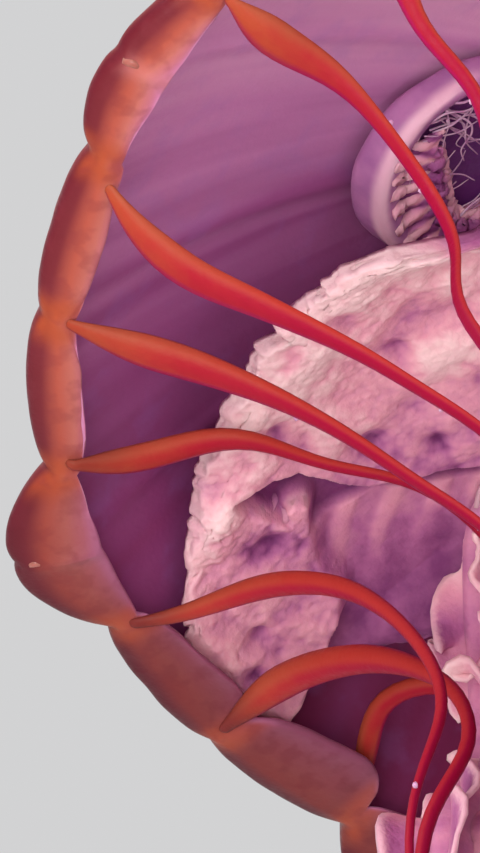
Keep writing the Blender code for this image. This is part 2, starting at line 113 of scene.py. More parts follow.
# Oral arms
ARMS = 4
FIRST_ARM_AZIMUTH = -22.5
ARM_ROOT_RHO = 0.13
STALK_HALF_WIDTH = 11 * MM
FULL_SHARE = 0.14
ARM_TIP_HALF_WIDTH = 4 * MM
ARM_TWIST = 80.0
ARM_HALF_WIDTHS = (14 * MM, 20 * MM, 22 * MM, 20 * MM)
ARM_TIP_HEIGHTS = (0.16, 0.10, 0.19, 0.13)
FIRST_ARM_FRILL = ((0.0, 0.112, 0.134, 0.150, 0.160, 0.172, 0.182, 0.20, 0.213, 0.30),
                   (0.30, 0.25, 0.72, 0.72, 0.12, 0.12, 0.45, 0.70, 0.95, 1.0))

# The stomach and its four pouches
MOUTH_DEPTH = -0.20
STOMACH_RHO = 0.22
POUCH_RHO = 0.59
POUCH_SQUARENESS = 0.35
WAIST_RHO = 0.30
NECK_RHO = 0.27
POUCH_THICKNESS = 0.040
POUCH_AZIMUTH = 26.0
CEILING_GAP = 0.010
RING_RHO = 0.385
RING_RADIUS = 0.172

# How what hangs drifts in the current
DRIFT_X = 0.024
DRIFT_Y = 0.017
DRIFT_PHASE = 0.45
HANGING_STEPS = 5

# How far each tentacle in the foreground runs in before it hangs: (rho, azimuth, depth)
INWARD_RUNS = {
    4: ((0.93, 66, 0.12), (0.91, 66, 0.24), (0.87, 68, 0.36), (0.85, 67, 0.52)),
    3: ((0.90, 52.7, 0.045), (0.82, 53.5, 0.07), (0.735, 53.7, 0.16), (0.70, 55, 0.30),
        (0.72, 55.3, 0.44), (0.67, 57.2, 0.62)),
    2: ((0.93, 33.7, 0.055), (0.867, 33, 0.11), (0.775, 34, 0.17), (0.635, 35.7, 0.27), (0.48, 37, 0.46)),
    1: ((0.90, 22, 0.05), (0.81, 22, 0.09), (0.70, 22, 0.16), (0.59, 22, 0.27), (0.46, 23, 0.48)),
    0: ((0.89, 7.2, 0.00), (0.765, 7.2, -0.01), (0.657, 7.3, 0.07), (0.54, 7.6, 0.15), (0.45, 7, 0.38)),
    23: ((0.91, -8.6, 0.03), (0.755, -5.5, 0.09), (0.644, -2.6, 0.20), (0.57, 0, 0.42), (0.64, 2, 0.68)),
    22: ((0.867, -20.3, 0.03), (0.743, -17.7, 0.095), (0.652, -15.7, 0.18), (0.588, -14.5, 0.28),
         (0.577, -13.5, 0.38), (0.66, -12, 0.54)),
    21: ((0.88, -34, -0.02), (0.82, -32, -0.03), (0.75, -34, -0.02), (0.71, -40, 0.02), (0.74, -49, 0.14)),
}
# Stoutness, the distance to the fullest place, and the length over which the swollen part thins out
TENTACLE_BUILD = {
    4: (1.0, 8 * MM, 15 * MM), 3: (1.08, 9 * MM, 14 * MM), 2: (1.05, 17 * MM, 24 * MM),
    1: (1.05, 16 * MM, 25 * MM), 0: (0.85, 13 * MM, 27 * MM), 23: (0.72, 30 * MM, 46 * MM),
    22: (1.06, 17 * MM, 40 * MM), 21: (0.68, 14 * MM, 40 * MM),
}
# Each arm leaves the mouth, spreads and then hangs; the first one billows out inside the bell
ARM_RUNS = (
    ((0.20, -21, -0.125), (0.32, -20, -0.12), (0.43, -21, -0.115), (0.54, -25, -0.10), (0.61, -31, -0.06),
     (0.66, -35, 0.00), (0.70, -37, 0.07), (0.73, -36, 0.17), (0.75, -32, 0.30)),
    ((0.20, 67, -0.10), (0.27, 67, 0.00), (0.30, 66, 0.22)),
    ((0.20, 157, -0.10), (0.30, 158, 0.00), (0.35, 160, 0.20)),
    ((0.20, 247, -0.10), (0.27, 247, 0.00), (0.30, 250, 0.20)),
)

# The first arm's billow: its azimuths, the rho it starts from, its grid, whose back has fewer
# columns, its series of noise and the sizes of its lumps in millimetres
BILLOW_SPAN = (-38.0, 31.5)
BILLOW_START = 0.24
BILLOW_ROWS = 470
BILLOW_COLUMNS = 185
BILLOW_BACK_STEP = 5
BILLOW_SERIES = 20.0
BILLOW_LUMPS = (9.0, 3.4, 1.5)
BILLOW_THICKNESS = 1.2 * MM
# Each is rho at azimuths: the free edge, and where the lobe on the low side ends and the veil begins
FREE_EDGE = ((-38.0, -33.0, -29.5, -27.6, -26.6, -21.0, -13.8, -8.2, -4.0,
              1.6, 6.9, 13.2, 20.4, 23.0, 26.0, 28.5, 30.0, 31.5),
             (0.60, 0.735, 0.800, 0.860, 0.925, 0.950, 0.933, 0.885, 0.857,
              0.816, 0.769, 0.715, 0.662, 0.640, 0.612, 0.575, 0.50, 0.43))
LOBE_END = ((-27.6, -26.0, -23.5, -21.6, -16.6, -12.5), (0.900, 0.842, 0.769, 0.749, 0.743, 0.726))
# Each is the azimuth at rhos: the foot of the upper mass, and the top of the veil
UPPER_FOOT = ((0.45, 0.554, 0.637, 0.705, 0.790), (-19.0, -15.0, -11.8, -5.6, -4.2))
VEIL_TOP = ((0.45, 0.517, 0.637, 0.726, 0.790), (-20.5, -19.7, -13.2, -12.7, -4.2))
# The greatest depth at rhos, which keeps the lobes out of the margin's lappets
ABOVE_LAPPETS = ((0.86, 0.905, 0.97), (0.020, -0.014, -0.016))
RIB_SLANT = 0.0127
RIB_SPACING = 0.080
# (rho, azimuth) at the two ends of the finger, and (rho, azimuth, size) of each hollow in the lobes
FINGER = ((0.729, -9.0), (0.769, -15.0))
HOLLOWS = (
    (0.789, -11.0, 0.019), (0.719, -16.2, 0.024), (0.867, -13.2, 0.012), (0.867, -18.8, 0.014),
    (0.907, -21.3, 0.014), (0.606, -4.4, 0.020), (0.533, -9.0, 0.018), (0.527, 16.1, 0.034),
    (0.710, 2.9, 0.016), (0.615, 17.2, 0.020), (0.543, 9.0, 0.018),
)

# The frills along each arm: the step from row to row, the columns and the ruffles' lengths in
# millimetres; each of the two sheets has a turn in degrees, a series of noise and a box in the map
FRILL_STEP = 1.05 * MM
FRILL_COLUMNS = 25
FRILL_WAVES = (27.0, 10.5, 4.3)
FRILL_SHEETS = ((20.0, 1.0, (0.10, 0.0, 0.54, 1.0)), (-65.0, 2.5, (0.56, 0.0, 1.0, 1.0)))

# Gonads, which span these angles in radians, threads, sense organs and granules
PITS = 4
GONAD_SPAN = (-2.6, 0.6)
GONAD_RADIUS = 0.121
GONAD_DROP = 0.012
GONAD_FOLDS = 34.0
GONAD_HALF_WIDTH = 5.0 * MM
GONAD_THICKNESS = 1.4 * MM
THREADS_PER_PIT = 80
THREAD_STEPS = 6
THREAD_RADII_MM = (0.15, 0.28)
THREAD_SIDE = np.array((0.31, 0.17, 0.93))
CLUB_RADIUS = 1.0 * MM
SPECKS_PER_TENTACLE = 4
SPECK_RADII_MM = (0.35, 0.75)
SPECKS_FROM, SPECKS_TO = 0.03, 0.22

# Boxes of the map, as left, bottom, right and top; the tentacles' boxes stand side by side
WHOLE_MAP = (0.0, 0.0, 1.0, 1.0)
BELL_MAP = (0.0, 0.50, 1.0, 1.0)
STOMACH_MAP = (0.0, 0.40, 1.0, 0.49)
TENTACLES_TOP = 0.39
RIB_MAP = (0.0, 0.0, 0.08, 1.0)

# Light scatters most in red, then blue, then green under the skin of the bell and the stomach
JELLY_SCATTER = (2.6, 2.0, 2.3)

# Studio: each light has a name, a place, an aim, a size and a power
FLOOR_RADIUS = 8.0
BACKDROP_COLOUR = (0.86, 0.86, 0.87, 1.0)
BACKDROP_STRENGTH = 0.75
LIGHTS = (
    ("key", (-1.3, -1.1, 1.9), BELL_CENTRE, 0.9, 18.0),
    ("under", (-0.35, -1.25, 0.45), BELL_CENTRE, 0.9, 13.0),
    ("fill", (1.6, -1.4, 0.9), (0.0, 0.0, 0.6), 1.2, 9.0),
    ("rim", (0.5, 1.5, 1.7), (0.0, 0.0, 0.75), 0.8, 16.0),
)

# Camera, in metres and degrees but for the sensor's millimetres; the aim is how far right of and above
# the bell's centre it looks
CAMERA_DISTANCE = 0.9
CAMERA_PITCH = 20.0
AIM_RIGHT, AIM_UP = -0.1051, -0.01533
FRAME_HEIGHT = 0.1494
SENSOR_HEIGHT = 36.0


# Numbers

def smooth(value):
    value = np.clip(value, 0.0, 1.0)
    return value * value * (3.0 - 2.0 * value)


def hump(distance, width):
    """1 at no distance, and next to nothing from two widths on."""
    return np.exp(-(distance / width) ** 2)


def turns(count):
    """Angles spaced evenly round a circle."""
    return 2.0 * math.pi * np.arange(count) / count


def spline(a, b, c, d, share):
    """The smooth way from b to c, led by a before them and d after them."""
    return 0.5 * (2.0 * b + (c - a) * share + (2.0 * a - 5.0 * b + 4.0 * c - d) * share ** 2
                  + (3.0 * b - a - 3.0 * c + d) * share ** 3)


def wobble(index, series=0):
    """A repeatable variation from -1 to 1, different for each index and series."""
    return np.sin(2.39996 * index * (series + 1) + 1.7 * series)


def hashed(cells, series):
    """A repeatable number from 0 to 1 for each whole-numbered cell."""
    mixed = cells @ np.array((127.1, 311.7, 74.7)) + series * 53.3
    return np.modf(np.abs(np.sin(mixed) * 43758.5453))[0]


def noise(places, size, series=0):
    """Smooth variation from -1 to 1, with features of about this size."""
    scaled = places / size
    low = np.floor(scaled)
    part = smooth(scaled - low)
    total = 0.0
    for corner in itertools.product((0, 1), repeat=3):
        step = np.array(corner)
        weight = np.prod(np.where(step, part, 1.0 - part), axis=-1)
        total = total + weight * hashed(low + step, series)
    return 2.0 * total - 1.0


def lumps(places, size, series=0):
    """Rounded lumps of about this size: 1 at the middle of each and 0 between them."""
    scaled = places / size
    low = np.floor(scaled)
    nearest = np.full(scaled.shape[:-1], 9.0)
    for step in itertools.product((-1, 0, 1), repeat=3):
        cell = low + np.array(step)
        middle = cell + np.stack([hashed(cell, series + axis) for axis in range(3)], axis=-1)
        nearest = np.minimum(nearest, np.linalg.norm(middle - scaled, axis=-1))
    return np.clip(1.0 - nearest, 0.0, 1.0)


def rounded_lumps(places, size, series=0):
    return 1.0 - (1.0 - lumps(places, size, series)) ** 2


def unit(vectors):
    return vectors / np.maximum(np.linalg.norm(vectors, axis=-1, keepdims=True), 1e-12)


# Bell coordinates

def bell_matrix():
    heading = Matrix.Rotation(math.radians(BELL_HEADING), 4, "Z")
    tilt = Matrix.Rotation(math.radians(BELL_TILT), 4, "Y")
    turn = Matrix.Rotation(math.radians(BELL_TURN), 4, "Z")
    return np.array(Matrix.Translation(BELL_CENTRE) @ heading @ tilt @ turn)


BELL = bell_matrix()


def world(rho, azimuth, depth):
    """World points of bell coordinates, which may be arrays."""
    angle = np.radians(azimuth)
    rho, angle, depth = np.broadcast_arrays(rho, angle, depth)
    local = np.stack((rho * np.cos(angle), rho * np.sin(angle), -depth), axis=-1) * BELL_RADIUS
    return local @ BELL[:3, :3].T + BELL[:3, 3]


def tangent(azimuth):
    """The direction round the bell's axis at an azimuth."""
    angle = math.radians(azimuth)
    return BELL[:3, :3] @ np.array((-math.sin(angle), math.cos(angle), 0.0))


# Meshes

def fill(collection, attribute, parts, kind=np.float32):
    collection.foreach_set(attribute, np.concatenate(parts).astype(kind).ravel())


def linked(name, data):
    """A new object of the scene that shows the data."""
    made = bpy.data.objects.new(name, data)
    bpy.context.scene.collection.objects.link(made)
    return made


class Piece:
    """Gathers closed grids into one mesh, with named values at its points and an OFBake map."""

    def __init__(self, name, slot, materials, values=()):
        self.name = name
        self.slot = slot
        self.materials = materials
        self.points, self.corners, self.sizes, self.maps, self.surfaces = [], [], [], [], []
        self.values = {value: [] for value in values}
        self.count = 0

    def grid(self, points, patch, surface=0, **values):
        """Add a grid closed round its rows and with a pole at each end; patch is its box in the map."""
        rows, columns = points.shape[:2]
        everything = np.concatenate((points.reshape(-1, 3), points[[0, -1]].mean(axis=1)))
        index = np.arange(rows * columns).reshape(rows, columns)
        first, last = (np.full((1, columns), rows * columns + pole) for pole in (0, 1))
        index = np.concatenate((first, index, last))
        after = np.roll(index, -1, axis=1)
        faces = np.stack((index[:-1], after[:-1], after[1:], index[1:]), axis=-1)
        a, b, c, d = np.moveaxis(everything[faces[1:-1]] - everything[0], 2, 0)
        inward = np.sum(a * (np.cross(b, c) + np.cross(c, d))) < 0.0

        u = (np.arange(columns)[:, None] + np.array((0.0, 1.0, 1.0, 0.0))) / columns
        v = (np.arange(rows + 1)[:, None, None] + np.array((0.0, 0.0, 1.0, 1.0))) / (rows + 1.0)
        box = np.array(patch)
        uvs = np.stack(np.broadcast_arrays(u, v), axis=-1)
        uvs[0, :, 0, 0] += 0.5 / columns
        uvs[-1, :, 3, 0] += 0.5 / columns
        uvs = box[:2] + uvs * (box[2:] - box[:2])
        quads, start, end = (slice(1, -1), [0, 1, 2, 3]), (slice(1), [0, 2, 3]), (slice(-1, None), [3, 0, 1])
        for part, corners in (quads, start, end):
            corners = corners[::-1] if inward else corners
            kept = self.count + faces[part][..., corners].reshape(-1, len(corners))
            self.corners.append(kept.ravel())
            self.sizes.append(np.full(len(kept), len(corners)))
            self.maps.append(uvs[part][..., corners, :].ravel())
            self.surfaces.append(np.full(len(kept), surface))
        for value, kept in self.values.items():
            given = np.broadcast_to(values.get(value, 0.0), (rows, columns))
            kept += [given.ravel(), given[[0, -1]].mean(axis=1)]
        self.points.append(everything)
        self.count += len(everything)

    def build(self, *nodes):
        """Make the object; it rides on the one body and stands for the CAD nodes named."""
        mesh = bpy.data.meshes.new(self.name)
        sizes = np.concatenate(self.sizes)
        mesh.vertices.add(self.count)
        mesh.loops.add(sizes.sum())
        mesh.polygons.add(len(sizes))
        fill(mesh.vertices, "co", self.points)
        fill(mesh.loops, "vertex_index", self.corners, np.int32)
        fill(mesh.polygons, "loop_start", [np.cumsum(sizes) - sizes], np.int32)
        fill(mesh.polygons, "material_index", self.surfaces, np.int32)
        mesh.update(calc_edges=True)
        fill(mesh.uv_layers.new(name="OFBake").uv, "vector", self.maps)
        for value, kept in self.values.items():
            fill(mesh.attributes.new(value, "FLOAT", "POINT").data, "value", kept)
        mesh.shade_smooth()
        for material in self.materials:
            mesh.materials.append(material)
        made = linked(self.name, mesh)
        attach(made, "root")
        if nodes:
            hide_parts(*nodes)


def grid_normals(points):
    """Unit normals of a grid whose rows are closed."""
    along = np.gradient(points, axis=0)
    around = np.roll(points, -1, axis=1) - np.roll(points, 1, axis=1)
    return unit(np.cross(around, along))


def grown(points, growth):
    """A closed grid moved out along its normals."""
    return points + grid_normals(points) * growth[..., None]


def offset_grid(line, *moves):
    """A row of points for each point of a line, moved by pairs of a direction and its distances."""
    points = line[:, None]
    for direction, distances in moves:
        points = points + direction[:, None] * distances[..., None]
    return points


def sheet_normals(front):
    """Unit normals of an open sheet."""
    return unit(np.cross(np.gradient(front, axis=1), np.gradient(front, axis=0)))


def two_sided(front, thickness):
    """A closed thin grid from an open sheet of points: out along its front and back behind it."""
    half = 0.5 * np.broadcast_to(thickness, front.shape[:2])[..., None] * sheet_normals(front)
    return np.concatenate((front + half, (front - half)[:, ::-1]), axis=1)


def mirrored(values, step=1):
    """The values of a sheet's front, and then of its back, which may skip columns."""
    return np.concatenate((values, values[:, ::-step]), axis=1)


# Lines and tubes

def catmull_rom(points, samples=16):
    """A smooth line through the points, densely sampled."""
    points = np.asarray(points, float)
    padded = np.vstack((2.0 * points[0] - points[1], points, 2.0 * points[-1] - points[-2]))
    knots = np.concatenate(([0.0], np.cumsum(np.sqrt(np.linalg.norm(np.diff(padded, axis=0), axis=1)))))
    line = []
    for i in range(1, len(padded) - 2):
        t = np.linspace(knots[i], knots[i + 1], samples, endpoint=False)[:, None]
        a, b, c, d = padded[i - 1:i + 3]
        t0, t1, t2, t3 = knots[i - 1:i + 3]
        ab = a + (b - a) * (t - t0) / (t1 - t0)
        bc = b + (c - b) * (t - t1) / (t2 - t1)
        cd = c + (d - c) * (t - t2) / (t3 - t2)
        abc = ab + (bc - ab) * (t - t0) / (t2 - t0)
        bcd = bc + (cd - bc) * (t - t1) / (t3 - t1)
        line.append(abc + (bcd - abc) * (t - t1) / (t2 - t1))
    line.append(points[-1:])
    return np.concatenate(line)


def running_lengths(line):
    return np.concatenate(([0.0], np.cumsum(np.linalg.norm(np.diff(line, axis=0), axis=1))))


def full_length(line):
    return running_lengths(line)[-1]


def points_at(line, distances):
    lengths = running_lengths(line)
    return np.stack([np.interp(distances, lengths, line[:, axis]) for axis in range(3)], axis=-1)


def softened(line):
    """The same line with its tighter bends eased, at steps of a millimetre."""
    total = full_length(line)
    eased = points_at(line, np.linspace(0.0, total, int(total / MM)))
    for _ in range(EASING_PASSES):
        eased[1:-1] += 0.5 * (0.5 * (eased[:-2] + eased[2:]) - eased[1:-1])
    return eased


def frames_along(line, distances, across, twist=0.0):
    """(points, directions, width axes, normals) at distances; the width axis is carried along the line.

    Past the first quarter of the line the width axis also turns by the twist, in degrees.
    """
    points = points_at(line, distances)
    directions = unit(np.gradient(points, axis=0))
    carried = []
    for direction in directions:
        across = unit(across - direction * (across @ direction))
        carried.append(across)
    width_axes = np.array(carried)
    turned = np.radians(twist) * smooth((distances / full_length(line) - 0.25) / 0.75)[:, None]
    sideways = np.cross(directions, width_axes)
    width_axes = width_axes * np.cos(turned) + sideways * np.sin(turned)
    return points, directions, width_axes, np.cross(directions, width_axes)


def tube(frames, half_width, half_thickness, sides):
    """A closed grid round a line, flattened where the half thickness is the smaller."""
    points, _, across, normal = frames
    angle = turns(sides)
    return offset_grid(points, (across, half_width[:, None] * np.cos(angle)),
                       (normal, half_thickness[:, None] * np.sin(angle)))


def drift(share, phase):
    """The gentle S that the current gives all that hangs, in metres."""
    waves = 2.0 * math.pi * share
    ahead = DRIFT_X * (math.sin(0.85 * waves + phase) - math.sin(phase))
    aside = DRIFT_Y * (math.sin(1.10 * waves + phase) - math.sin(phase))
    return np.array((ahead, aside, 0.0))


def hanging_points(start, tip_height, lean):
    """Points from the start down to the tip, with the shared drift and the part's own lean."""
    outward = unit(np.array((start[0] - BELL_CENTRE[0], start[1] - BELL_CENTRE[1], 0.0)))
    points = []
    for step in range(1, HANGING_STEPS + 1):
        share = step / HANGING_STEPS
        point = start + drift(share, DRIFT_PHASE * outward[0]) + outward * lean * share
        point[2] = start[2] + (tip_height - start[2]) * share
        points.append(point)
    return points


# Materials

class Paint:
    """A procedural material: short calls add nodes and return their output sockets."""

    def __init__(self, name, roughness, coat=0.0, coat_roughness=0.1, metallic=0.0, scatter=0.0,
                 scatter_radius=(4.0, 1.5, 2.0), specular=0.5):
        self.material = bpy.data.materials.new(name)
        self.material.use_nodes = True
        self.tree = self.material.node_tree
        self.shader = self.tree.nodes["Principled BSDF"]
        for socket, value in (("Roughness", roughness), ("Metallic", metallic), ("Coat Weight", coat),
                              ("Coat Roughness", coat_roughness), ("Specular IOR Level", specular),
                              ("Subsurface Weight", scatter), ("Subsurface Radius", scatter_radius),
                              ("Subsurface Scale", MM)):
            self.feed(self.shader, socket, value)

    def feed(self, node, socket, value):
        """Give a node's socket a constant, or link it to another node's output."""
        if isinstance(value, bpy.types.NodeSocket):
            self.tree.links.new(value, node.inputs[socket])
        else:
            node.inputs[socket].default_value = value

    def node(self, kind, inputs, **settings):
        made = self.tree.nodes.new(kind)
        for setting, value in settings.items():
            setattr(made, setting, value)
        for socket, value in inputs.items():
            self.feed(made, socket, value)
        return made

    def value(self, name):
        return self.node("ShaderNodeAttribute", {}, attribute_name=name).outputs["Fac"]

    def place(self):
        return self.node("ShaderNodeTexCoord", {}).outputs["Object"]

    def grain(self, size, detail=3.0, stretch=None):
        """Noise from 0 to 1 with features of about this size in metres."""
        where = self.place()
        if stretch:
            where = self.node("ShaderNodeMapping", {"Vector": where, "Scale": stretch}).outputs[0]
        inputs = {"Vector": where, "Scale": 1.0 / size, "Detail": detail}
        return self.node("ShaderNodeTexNoise", inputs).outputs["Fac"]

    def cells(self, size):
        inputs = {"Vector": self.place(), "Scale": 1.0 / size}
        return self.node("ShaderNodeTexVoronoi", inputs).outputs["Distance"]

    def math(self, operation, first, second):
        return self.node("ShaderNodeMath", {0: first, 1: second}, operation=operation).outputs[0]

    def product(self, *values):
        return functools.reduce(lambda first, second: self.math("MULTIPLY", first, second), values)

    def plus(self, first, second, *weights):
        """The first value plus the second, which may have weights."""
        return self.math("ADD", first, self.product(second, *weights))

    def span(self, value, low, high, to_low=0.0, to_high=1.0):
        """Map low..high to to_low..to_high, clamped and eased."""
        inputs = {"Value": value, "From Min": low, "From Max": high, "To Min": to_low, "To Max": to_high}
        return self.node("ShaderNodeMapRange", inputs, interpolation_type="SMOOTHSTEP").outputs["Result"]

    def band(self, value, start, full, fading, end, most=1.0):
        """0 before the start, then as much as most, and 0 again from the end."""
        return self.product(self.span(value, start, full), self.span(value, fading, end, most, 0.0))

    def ramp(self, value, stops):
        """Colours, given as sRGB bytes, at places along 0..1."""
        made = self.node("ShaderNodeValToRGB", {"Fac": value})
        elements = made.color_ramp.elements
        while len(elements) < len(stops):
            elements.new(0.5)
        for element, (place, colour) in zip(elements, stops):
            element.position = place
            element.color = linear(colour)
        return made.outputs["Color"]

    def tones(self, value, dark, light):
        return self.ramp(value, ((0.3, dark), (0.7, light)))

    def tint(self, colour, tone, *shares):
        """The colour, turned to the tone as far as the shares' product says."""
        tone = tone if isinstance(tone, bpy.types.NodeSocket) else linear(tone)
        inputs = {0: self.product(*shares), 6: colour, 7: tone}
        return self.node("ShaderNodeMix", inputs, data_type="RGBA").outputs[2]

    def finish(self, colour, height, distance, strength, roughness=None):
        """The finished material; a roughness that varies is a value with its least and its most."""
        relief = self.node("ShaderNodeBump", {"Height": height, "Distance": distance, "Strength": strength})
        self.feed(self.shader, "Base Color", colour)
        self.feed(self.shader, "Normal", relief.outputs["Normal"])
        if roughness:
            value, least, most = roughness
            self.feed(self.shader, "Roughness", self.span(value, 0.3, 0.7, least, most))
        return self.material


def linear(colour):
    """An sRGB colour in bytes as linear RGBA."""
    share = np.array(colour) / 255.0
    values = np.where(share <= 0.04045, share / 12.92, ((share + 0.055) / 1.055) ** 2.4)
    return (*values, 1.0)


def bell_paint():
    """Outer wall, margin and subumbrella, told apart by the place along the wall's section; the margin and
    subumbrella carry painted shade on the side that hangs lowest.
    """
    paint = Paint("bell_jelly", 0.40, coat=0.02, coat_roughness=0.2, scatter=0.35,
                  scatter_radius=JELLY_SCATTER, specular=0.10)
    section, cleft, low = map(paint.value, ("section", "cleft", "low"))
    blotch = paint.grain(9 * MM, 4.0)
    fine = paint.grain(1.2 * MM, 2.0)

    outer = paint.ramp(paint.plus(blotch, paint.value("rho"), 0.35),
                       ((0.25, (205, 138, 128)), (0.55, (188, 100, 92)), (0.85, (150, 62, 62))))
    outer = paint.tint(outer, (150, 60, 52), paint.span(paint.cells(1.6 * MM), 0.10, 0.32, 0.35, 0.0))

    pale = paint.product(paint.span(low, 0.30, 0.85, 0.030, 0.0), paint.span(section, 0.42, 0.47))
    margin = paint.ramp(paint.plus(section, pale), (
        (0.12, (124, 40, 46)), (0.24, (116, 36, 42)), (0.29, (120, 42, 46)), (0.325, (96, 20, 34)),
        (0.385, (116, 38, 46)), (0.415, (176, 84, 68)), (0.45, (190, 108, 98)), (0.495, (192, 112, 124)),
        (0.525, (198, 120, 150)), (0.555, (204, 130, 168)), (0.60, (206, 138, 178)), (0.66, (196, 120, 160)),
        (0.74, (178, 104, 150))))
    on_fold = paint.band(section, 0.30, 0.36, 0.52, 0.58)
    orange = paint.span(paint.plus(cleft, blotch, 0.5), 0.45, 1.15, 0.0, 0.75)
    margin = paint.tint(margin, (170, 74, 40), orange, on_fold)
    strip = paint.span(paint.grain(4 * MM, 2.0), 0.45, 0.65, 0.0, 0.30)
    margin = paint.tint(margin, (124, 44, 54), strip, on_fold)
    # Painted shade on the side that hangs lowest, weaker at the clefts: it darkens the margin over the band
    # in below.
    low_side_painted_shade = paint.product(paint.span(low, 0.62, 0.90), paint.span(cleft, 0.3, 1.1, 1.0, 0.35))
    below = paint.product(paint.band(section, 0.08, 0.16, 0.58, 0.66), 0.76)
    margin = paint.tint(margin, (92, 28, 40), low_side_painted_shade, below)
    # Darker painted shade over the outer strip of the margin on the low side.
    outside = paint.band(section, 0.08, 0.16, 0.35, 0.43, 0.62)
    margin = paint.tint(margin, (72, 14, 28), low_side_painted_shade, outside)
    # A pale keel at each sense organ, its own colour, left out on the side that hangs lowest so the painted
    # shade holds there.
    keel = paint.span(section, 0.34, 0.40, 0.0, 0.5), paint.span(low, 0.55, 0.78, 1.0, 0.0)
    margin = paint.tint(margin, (200, 120, 116), paint.value("organ"), *keel)

    # Painted shade: the subumbrella runs from pale pink on the high side to dark wine on the side that hangs
    # lowest; the radial streaks and septa are its own pattern.
    shade = paint.plus(paint.product(low, 0.92), paint.value("streak"), 0.08)
    under = paint.ramp(shade, (
        (0.12, (238, 190, 210)), (0.28, (216, 156, 190)), (0.45, (190, 122, 170)), (0.62, (150, 78, 130)),
        (0.78, (132, 58, 108)), (0.90, (124, 44, 86)), (1.0, (104, 28, 66))))
    under = paint.tint(under, (146, 106, 172), paint.span(blotch, 0.5, 0.7, 0.0, 0.18))

    colour = paint.tint(outer, margin, paint.span(section, 0.10, 0.20))
    colour = paint.tint(colour, under, paint.span(section, 0.64, 0.78))
    return paint.finish(colour, paint.plus(fine, blotch, 0.8), 0.2 * MM, 0.4, (fine, 0.30, 0.44))


def stomach_paint():
    paint = Paint("stomach_jelly", 0.34, coat=0.05, scatter=0.4,
                  scatter_radius=JELLY_SCATTER, specular=0.15)
    colour = paint.tones(paint.grain(6 * MM), (158, 98, 150), (186, 122, 168))
    colour = paint.tint(colour, (104, 46, 112), paint.span(paint.value("pit"), 0.2, 0.9))
    colour = paint.tint(colour, (226, 176, 194), paint.span(paint.value("rim"), 0.1, 0.7))
    return paint.finish(colour, paint.grain(1.5 * MM), 0.3 * MM, 0.5)


def tentacle_paint():
    """Orange at the root, then red, then crimson; the low edge is magenta and the high edge orange; roots on
    the bell's low side are darkened as painted shade.
    """
    paint = Paint("tentacle_jelly", 0.44, scatter=0.10, scatter_radius=(3.0, 0.8, 1.1), specular=0.08)
    along, across = map(paint.value, ("along", "across"))
    blotch = paint.grain(3.5 * MM)
    mottled = paint.plus(along, blotch, 0.05)
    face, high, lower = (paint.ramp(mottled, stops) for stops in (
        ((0.0, (160, 80, 56)), (0.03, (168, 66, 42)), (0.10, (160, 28, 42)), (0.18, (150, 8, 46)),
         (0.40, (126, 4, 44)), (1.0, (92, 6, 42))),
        ((0.0, (162, 82, 56)), (0.15, (166, 48, 40)), (0.40, (146, 20, 42)), (1.0, (100, 12, 44))),
        ((0.0, (150, 54, 58)), (0.08, (156, 14, 74)), (0.30, (138, 2, 68)), (1.0, (80, 2, 50)))))
    colour = paint.tint(face, high, paint.span(across, 0.35, 0.95))
    colour = paint.tint(colour, lower, paint.span(across, -0.30, -0.85))
    # Painted shade: the roots on the side of the bell that hangs lowest darken to match the margin's painted
    # shade there.
    colour = paint.tint(colour, (104, 38, 40), paint.span(along, 0.0, 0.05, 0.9, 0.0), paint.value("low"))
    relief = paint.plus(paint.grain(0.9 * MM), blotch)
    return paint.finish(colour, relief, 0.2 * MM, 0.45, (paint.grain(1.5 * MM), 0.38, 0.52))


def frill_paint():
    """Pale and granular on the crests and free edges, violet in the valleys: the frill's own tones, with
    painted shade in the folds and hollows and painted light on the crests.
    """
    paint = Paint("arm_frill", 0.55, scatter=0.4, scatter_radius=(2.6, 2.1, 2.4), specular=0.08)
    fine = paint.grain(0.8 * MM)
    uneven = paint.plus(paint.grain(5 * MM, 4.0), -0.5)
    # crest is low in fold valleys and hollows and high on crests and lumps, so this ramp is partly the
    # frill's own violet and pink and partly painted shade and light.
    colour = paint.ramp(paint.plus(paint.value("crest"), uneven, 0.35), (
        (0.0, (98, 38, 88)), (0.18, (128, 62, 112)), (0.36, (176, 102, 148)), (0.52, (208, 136, 164)),
        (0.72, (230, 160, 176)), (1.0, (248, 202, 204))))
    edge = paint.span(paint.plus(paint.value("edge"), fine, 0.3), 0.75, 1.15, 0.0, 0.6)
    colour = paint.tint(colour, (244, 192, 196), edge)
    return paint.finish(colour, paint.plus(fine, paint.cells(1.3 * MM), -0.8), 0.3 * MM, 0.5)


def speckled_paint(name, size, dark, light):
    """For threads and sense organs: small, half clear and glossy."""
    paint = Paint(name, 0.38, coat=0.1, scatter=0.4, specular=0.3)
    return paint.finish(paint.tones(paint.grain(size), dark, light), paint.grain(0.5 * MM), 0.15 * MM, 0.5)


def stand_paint():
    """Satin charcoal enamel with a fine orange peel."""
    paint = Paint("stand_enamel", 0.42, coat=0.2, coat_roughness=0.25)
    colour = paint.tones(paint.grain(40 * MM), (50, 51, 54), (62, 63, 66))
    return paint.finish(colour, paint.grain(0.9 * MM, 2.0), 0.08 * MM, 0.6, (paint.grain(6 * MM), 0.36, 0.50))


def steel_paint():
    """Brushed steel: fine lines along the rod."""
    paint = Paint("brushed_steel", 0.28, metallic=1.0)
    lines = paint.grain(0.5 * MM, 2.0, stretch=(1.0, 1.0, 0.04))
    colour = paint.tones(lines, (176, 178, 180), (204, 206, 207))
    return paint.finish(colour, lines, 0.05 * MM, 0.5, (lines, 0.22, 0.38))


def floor_paint():
    paint = Paint("pale_floor", 0.75)
    colour = paint.tones(paint.grain(0.3, 2.0), (226, 225, 223), (232, 231, 229))
    paint.feed(paint.shader, "Base Color", colour)
    return paint.material


# The bell

